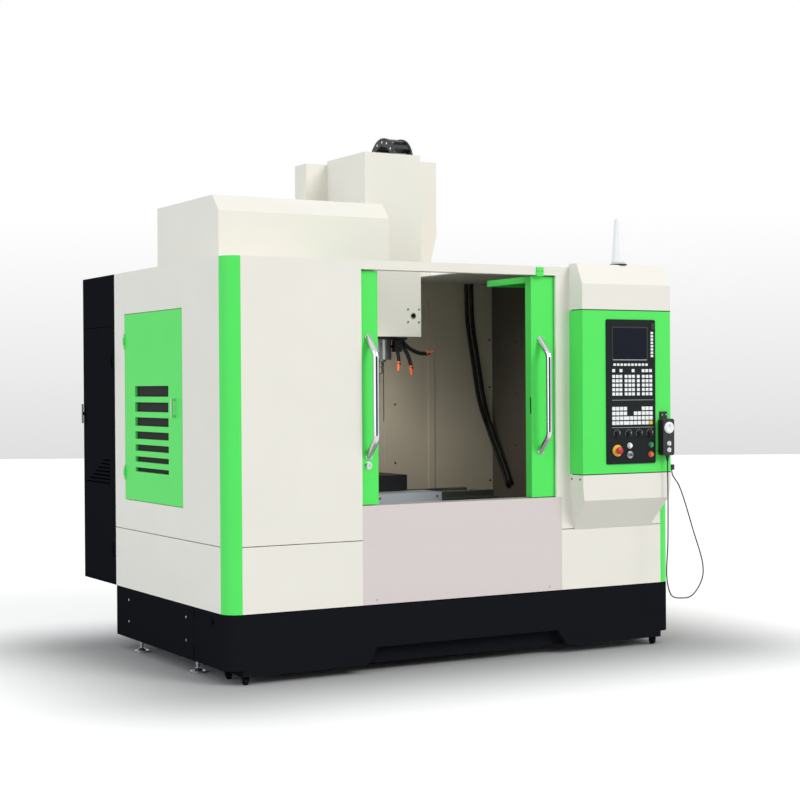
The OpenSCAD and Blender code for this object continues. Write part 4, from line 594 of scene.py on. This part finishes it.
# Jointed coolant hoses: a bead over each link, a nozzle tip at each end, and the valve block that they leave
# A hose has its place beside the spindle in mm, first slant and bend per link in degrees, and number of links
HOSES = ((90, 20, -2.2, 10), (116, 45, -3, 13), (142, 40, 4.5, 14))
HOSE_DROP = 22 * MM
LINK = 14.4 * MM
BEAD_R, BEAD_NECK, BEAD_SIDES = 12.5 * MM, 9.5 * MM, 24
TIP_R, TIP_MOUTH, TIP_L, TIP_LAP = 13 * MM, 6 * MM, 56 * MM, 24 * MM
ROW_Y = spindle_mid.y - 35 * MM
tips = Shape()
beads = Shape()
for offset, slant, bend, links in HOSES:
    spot = Vector((spindle_mid.x + offset * MM, ROW_Y, head_low.z - HOSE_DROP))
    angle = slant
    for _ in range(links):
        along = Vector((math.sin(math.radians(angle)), 0, -math.cos(math.radians(angle))))
        turn = Matrix.Rotation(math.radians(180 - angle), 4, "Y")
        beads.rod(spot, "z", BEAD_R, LINK, end_radius=BEAD_NECK, segments=BEAD_SIDES, matrix=turn)
        spot = spot + LINK * along
        angle += bend
    turn = Matrix.Rotation(math.radians(180 - angle), 4, "Y")
    tips.rod(spot - TIP_LAP * along, "z", TIP_R, TIP_L, end_radius=TIP_MOUTH, matrix=turn)
tips.piece("nozzle_tips", ORANGE, "head")
beads.piece("hose_links", PLASTIC, "head")
VALVE_LOW, VALVE_HIGH = mm(80, -17, -84), mm(128, 17, -14)
STEMS, STEM_R, STEM_L = (mm(92, -30, -52), mm(116, -30, -52)), 11 * MM, 60 * MM
hose_row = Vector((spindle_mid.x, ROW_Y, head_low.z))
valves = Shape()
valves.box(hose_row + VALVE_LOW, hose_row + VALVE_HIGH)
for stem in STEMS:
    valves.rod(hose_row + stem, "y", STEM_R, STEM_L)
valves.piece("valve_block", PLASTIC, "head")

# Outer edges of the way cover's leaf behind the head
LEAF_HALF, LEAF_EDGE, LEAF_LAP = 314 * MM, 13 * MM, 1 * MM
LEAF_THIN = 0.4 * MM
LEAF_DROP, LEAF_RISE = 502 * MM, 27 * MM
leaf_edges = Shape()
for edge_x in (spindle_mid.x - LEAF_HALF - LEAF_EDGE, spindle_mid.x + LEAF_HALF - LEAF_LAP):
    leaf_edges.box((edge_x, LEAF_Y + LEAF_THIN, head_low.z - LEAF_DROP),
                   (edge_x + LEAF_EDGE + LEAF_LAP, LEAF_Y + SHEET - LEAF_THIN, head_low.z + LEAF_RISE))
leaf_edges.piece("leaf_edges", LINER, "head")

# Strips that close the work area's back and right walls up to the roof; the right wall's strip carries the
# same painted shade
ROOF_T = 6 * MM
WALL_INNER = 330 * MM
SIDE_STRIP = 400 * MM
ROOF_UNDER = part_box("rear_and_roof_panels")[1].z - ROOF_T
strips = Shape()
for low_x, high_x in ((liner_low.x + SHEET, spindle_mid.x - WALL_INNER),
                      (spindle_mid.x + WALL_INNER, RIGHT_X)):
    strips.box((low_x, BACK_Y, liner_high.z), (high_x, BACK_Y + SHEET, ROOF_UNDER))
strips.piece("back_wall_strips", LINER, "frame")
strip = Shape()
strip.box((RIGHT_X, BACK_Y - SIDE_STRIP, liner_high.z), (liner_high.x, BACK_Y, ROOF_UNDER))
strip.piece("right_wall_strip", LINER_PAINTED_SHADE, "frame")

# Rib and dark screws on the work area's back and right walls; screws are at heights over the floor
RIB_LOW, RIB_HIGH = mm(-479, -6, 100), mm(-437, 1, -4)
WALL_SCREW_R, WALL_SCREW_L = 6.5 * MM, 1.2 * MM
BACK_SCREWS = ((718, 1369), (718, 1008), (23, 1774), (23, 1472), (23, 879))
RIGHT_SCREWS_Z, RIGHT_SCREWS_AHEAD = (1755, 1432, 1108), 272 * MM
rib = Shape()
rib.box(Vector((liner_high.x, BACK_Y, liner_low.z)) + RIB_LOW,
        Vector((liner_high.x, BACK_Y, liner_high.z)) + RIB_HIGH)
rib.piece("back_wall_rib", LINER, "frame")
wall_screws = Shape()
for x, z in BACK_SCREWS:
    spot = Vector((liner_high.x - x * MM, BACK_Y, z * MM))
    front_rod(wall_screws, spot, WALL_SCREW_R, WALL_SCREW_L, segments=FEW_SIDES)
for z in RIGHT_SCREWS_Z:
    spot = (RIGHT_X - WALL_SCREW_L, BACK_Y - RIGHT_SCREWS_AHEAD, z * MM)
    wall_screws.rod(spot, "x", WALL_SCREW_R, WALL_SCREW_L, segments=FEW_SIDES)
wall_screws.piece("liner_screws", PLASTIC, "frame")

# Screws at the apron's foot, on the pendant's bracket and beside the console's chin
APRON_SCREW, BRACKET_SCREW, CHIN_SCREW = (6 * MM, 1.2 * MM), (4.5 * MM, 0.8 * MM), (6 * MM, 1.2 * MM)
APRON_SCREW_LEFT, APRON_SCREW_RIGHT, APRON_SCREW_UP = 81 * MM, 84 * MM, 24 * MM
BRACKET_SCREWS = (mm(-14, 41, -18), mm(14, 41, -18))
CHIN_SCREWS = (mm(-1, -17, -26), mm(-1, -94, -26))
apron_low, apron_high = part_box("front_apron")
small_screws = Shape()
for x in (apron_low.x + APRON_SCREW_LEFT, apron_high.x - APRON_SCREW_RIGHT):
    spot = Vector((x, apron_low.y, apron_low.z + APRON_SCREW_UP))
    front_rod(small_screws, spot, *APRON_SCREW, segments=SIDES)
bracket = Vector((middle("handwheel").x, pendant_low.y, pendant_high.z))
for place in BRACKET_SCREWS:
    front_rod(small_screws, bracket + place, *BRACKET_SCREW, segments=FEW_SIDES)
small_screws.piece("front_screws", STEEL, "frame")
chin = Vector((house_low.x, apron_low.y, box_low.z))
chin_screws = Shape()
for place in CHIN_SCREWS:
    chin_screws.rod(chin + place, "x", *CHIN_SCREW, segments=FEW_SIDES)
chin_screws.piece("chin_screws", PLASTIC, "frame")

# Painted shade inside the louvred service door: a dark plate behind the louvres
SHADE_PLATE_LOW, SHADE_PLATE_HIGH = mm(-1, 120, 150), mm(1, -120, 660)
door_low, door_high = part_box("service_door")
louvre_shade = Shape()
louvre_shade.box(Vector((door_high.x, door_low.y, door_low.z)) + SHADE_PLATE_LOW,
            Vector((door_high.x, door_high.y, door_low.z)) + SHADE_PLATE_HIGH)
louvre_shade.piece("louvre_painted_shade", PAINTED_SHADE, "service_door")


# Floor and light

FLOOR_FAR = 36
FLOOR_NEAR = -20
FLOOR_HALF = 60
FLOOR_GREY = 0.62
FLOOR_SEEN = 0.47
FLOOR_LIFT = 0.6
FOOT_SHADE_FADE = 1.3
WHITE = (1, 1, 1, 1)
ahead = Vector((math.sin(math.radians(AZIMUTH)), math.cos(math.radians(AZIMUTH)), 0))
aside = Vector((ahead.y, -ahead.x, 0))
under_eye = Vector((EYE.x, EYE.y, 0))
floor_corners = ((FLOOR_NEAR, -FLOOR_HALF), (FLOOR_NEAR, FLOOR_HALF),
                 (FLOOR_FAR, FLOOR_HALF), (FLOOR_FAR, -FLOOR_HALF))
floor_mesh = bpy.data.meshes.new("floor")
floor_mesh.from_pydata([under_eye + ahead * a + aside * s for a, s in floor_corners], [], [(0, 1, 2, 3)])
FLOOR = finish("pale floor", (FLOOR_GREY, FLOOR_GREY, FLOOR_GREY), 0.9, spread=0.004, bump=0.0, edge=0,
               specular=0.1)


def background_rays(tree):
    """1 for the rays that show the background, straight from the camera or by way of metal and glass."""
    path = tree.nodes.new("ShaderNodeLightPath")
    factor = path.outputs["Is Camera Ray"]
    for kind in ("Is Glossy Ray", "Is Transmission Ray"):
        most = tree.nodes.new("ShaderNodeMath")
        most.operation = "MAXIMUM"
        tree.links.new(factor, most.inputs[0])
        tree.links.new(path.outputs[kind], most.inputs[1])
        factor = most.outputs["Value"]
    return factor


floor_tree = FLOOR.node_tree
floor_shader = floor_tree.nodes["Principled BSDF"]
floor_shader.inputs["Emission Color"].default_value = WHITE
seen = background_rays(floor_tree)
lift = floor_tree.nodes.new("ShaderNodeMath")
lift.operation = "MULTIPLY"
floor_tree.links.new(seen, lift.inputs[0])

# Where it is seen, the floor is darker than where it throws light back; near the foot, where the lift below
# stays low, this is painted shade
floor_colour = floor_tree.nodes.new("ShaderNodeMix")
floor_colour.data_type = "RGBA"
floor_colour.inputs[MIX_B].default_value = (FLOOR_SEEN, FLOOR_SEEN, FLOOR_SEEN, 1)
floor_tree.links.new(seen, floor_colour.inputs["Factor"])
floor_tree.links.new(floor_shader.inputs["Base Color"].links[0].from_socket, floor_colour.inputs[MIX_A])
floor_tree.links.new(floor_colour.outputs[MIX_RESULT], floor_shader.inputs["Base Color"])

# The lift towards white starts at the machine's foot and grows with distance from it, so the floor round the
# foot stays grey: painted shade round the machine, on top of its own shadow
foot_middle = (skirt_low + skirt_high) / 2
foot_half = (skirt_high - skirt_low) / 2
spot = floor_tree.nodes.new("ShaderNodeTexCoord").outputs["Object"]
for operation, value in (("SUBTRACT", (foot_middle.x, foot_middle.y, 0)), ("ABSOLUTE", None),
                         ("SUBTRACT", (foot_half.x, foot_half.y, 1)), ("MAXIMUM", (0, 0, 0)),
                         ("LENGTH", None)):
    step = floor_tree.nodes.new("ShaderNodeVectorMath")
    step.operation = operation
    floor_tree.links.new(spot, step.inputs[0])
    if value is not None:
        step.inputs[1].default_value = value
    spot = step.outputs["Value" if operation == "LENGTH" else "Vector"]
reach = floor_tree.nodes.new("ShaderNodeMapRange")
reach.interpolation_type = "SMOOTHSTEP"
reach.inputs["From Max"].default_value = FOOT_SHADE_FADE
reach.inputs["To Max"].default_value = FLOOR_LIFT
floor_tree.links.new(spot, reach.inputs["Value"])
floor_tree.links.new(reach.outputs["Result"], lift.inputs[1])
floor_tree.links.new(lift.outputs["Value"], floor_shader.inputs["Emission Strength"])
floor_mesh.materials.append(FLOOR)
floor = bpy.data.objects.new("floor", floor_mesh)
bpy.context.collection.objects.link(floor)

# A dark card in front of the machine, seen only in its bright metal
CARD_FAR, CARD_FOOT, CARD_H = 6, 0.3, 3.5
CARD_TURNS = (-8, 42)
CARD_GREY = 0.012
grips = (middle("left_handle") + middle("right_handle")) / 2
card_feet = []
for turn in CARD_TURNS:
    turn = math.radians(turn)
    foot = grips + CARD_FAR * (aside * math.sin(turn) - ahead * math.cos(turn))
    card_feet.append(Vector((foot.x, foot.y, CARD_FOOT)))
rise = Vector((0, 0, CARD_H))
card_corners = [card_feet[0], card_feet[1], card_feet[1] + rise, card_feet[0] + rise]
card_mesh = bpy.data.meshes.new("dark_card")
card_mesh.from_pydata(card_corners, [], [(0, 1, 2, 3)])
card_mesh.materials.append(finish("dark card", (CARD_GREY, CARD_GREY, CARD_GREY), 0.9, edge=0, specular=0.0))
card = bpy.data.objects.new("dark_card", card_mesh)
card.visible_camera = card.visible_diffuse = card.visible_shadow = card.visible_transmission = False
bpy.context.collection.objects.link(card)


def add_light(name, kind, place, target, power, **settings):
    data = bpy.data.lights.new(name, kind)
    data.energy = power
    for key, value in settings.items():
        setattr(data, key, value)
    obj = bpy.data.objects.new(name, data)
    obj.location = place
    obj.rotation_euler = (Vector(target) - Vector(place)).to_track_quat("-Z", "Y").to_euler()
    bpy.context.collection.objects.link(obj)


ORIGIN = (0, 0, 0)
KEY_FROM, KEY_POWER, KEY_ANGLE = (3.5, -7.5, 5.5), 1.45, math.radians(25)
FILL_FROM, FILL_POWER, FILL_ANGLE = (-8.0, -1.5, 2.5), 1.0, math.radians(60)
COOL, WARM = (0.76, 0.86, 1.0), (1.0, 0.96, 0.9)
LAMP_FROM, LAMP_TO, LAMP_POWER = (-0.45, -0.3, 1.68), (0.65, 0.49, 1.05), 1.5
LAMP_SIZE, LAMP_SPREAD = 0.3, math.radians(80)
add_light("key", "SUN", KEY_FROM, ORIGIN, KEY_POWER, angle=KEY_ANGLE)
add_light("fill", "SUN", FILL_FROM, ORIGIN, FILL_POWER, angle=FILL_ANGLE, color=COOL)
add_light("work_lamp", "AREA", LAMP_FROM, LAMP_TO, LAMP_POWER, size=LAMP_SIZE, spread=LAMP_SPREAD, color=WARM)

# A white room, with a backdrop that is a little grey near the floor
ROOM_LIGHT = 0.64
GREY_BELOW, WHITE_ABOVE = -0.041, 0.1
BACKDROP_GREY = (0.74, 0.74, 0.75, 1)
world = bpy.data.worlds.new("studio")
world.use_nodes = True
sky = world.node_tree
light = sky.nodes["Background"]
light.inputs["Color"].default_value = WHITE
light.inputs["Strength"].default_value = ROOM_LIGHT
backdrop = sky.nodes.new("ShaderNodeBackground")
place = sky.nodes.new("ShaderNodeTexCoord")
split = sky.nodes.new("ShaderNodeSeparateXYZ")
fade = sky.nodes.new("ShaderNodeMapRange")
fade.inputs["From Min"].default_value = GREY_BELOW
fade.inputs["From Max"].default_value = WHITE_ABOVE
tint = sky.nodes.new("ShaderNodeMix")
tint.data_type = "RGBA"
tint.inputs[MIX_A].default_value = BACKDROP_GREY
tint.inputs[MIX_B].default_value = WHITE
choose = sky.nodes.new("ShaderNodeMixShader")
sky.links.new(place.outputs["Generated"], split.inputs["Vector"])
sky.links.new(split.outputs["Z"], fade.inputs["Value"])
sky.links.new(fade.outputs["Result"], tint.inputs["Factor"])
sky.links.new(tint.outputs[MIX_RESULT], backdrop.inputs["Color"])
sky.links.new(background_rays(sky), choose.inputs["Fac"])
sky.links.new(light.outputs["Background"], choose.inputs[1])
sky.links.new(backdrop.outputs["Background"], choose.inputs[2])
sky.links.new(choose.outputs["Shader"], sky.nodes["World Output"].inputs["Surface"])
bpy.context.scene.world = world
bpy.context.scene.view_settings.view_transform = "Standard"
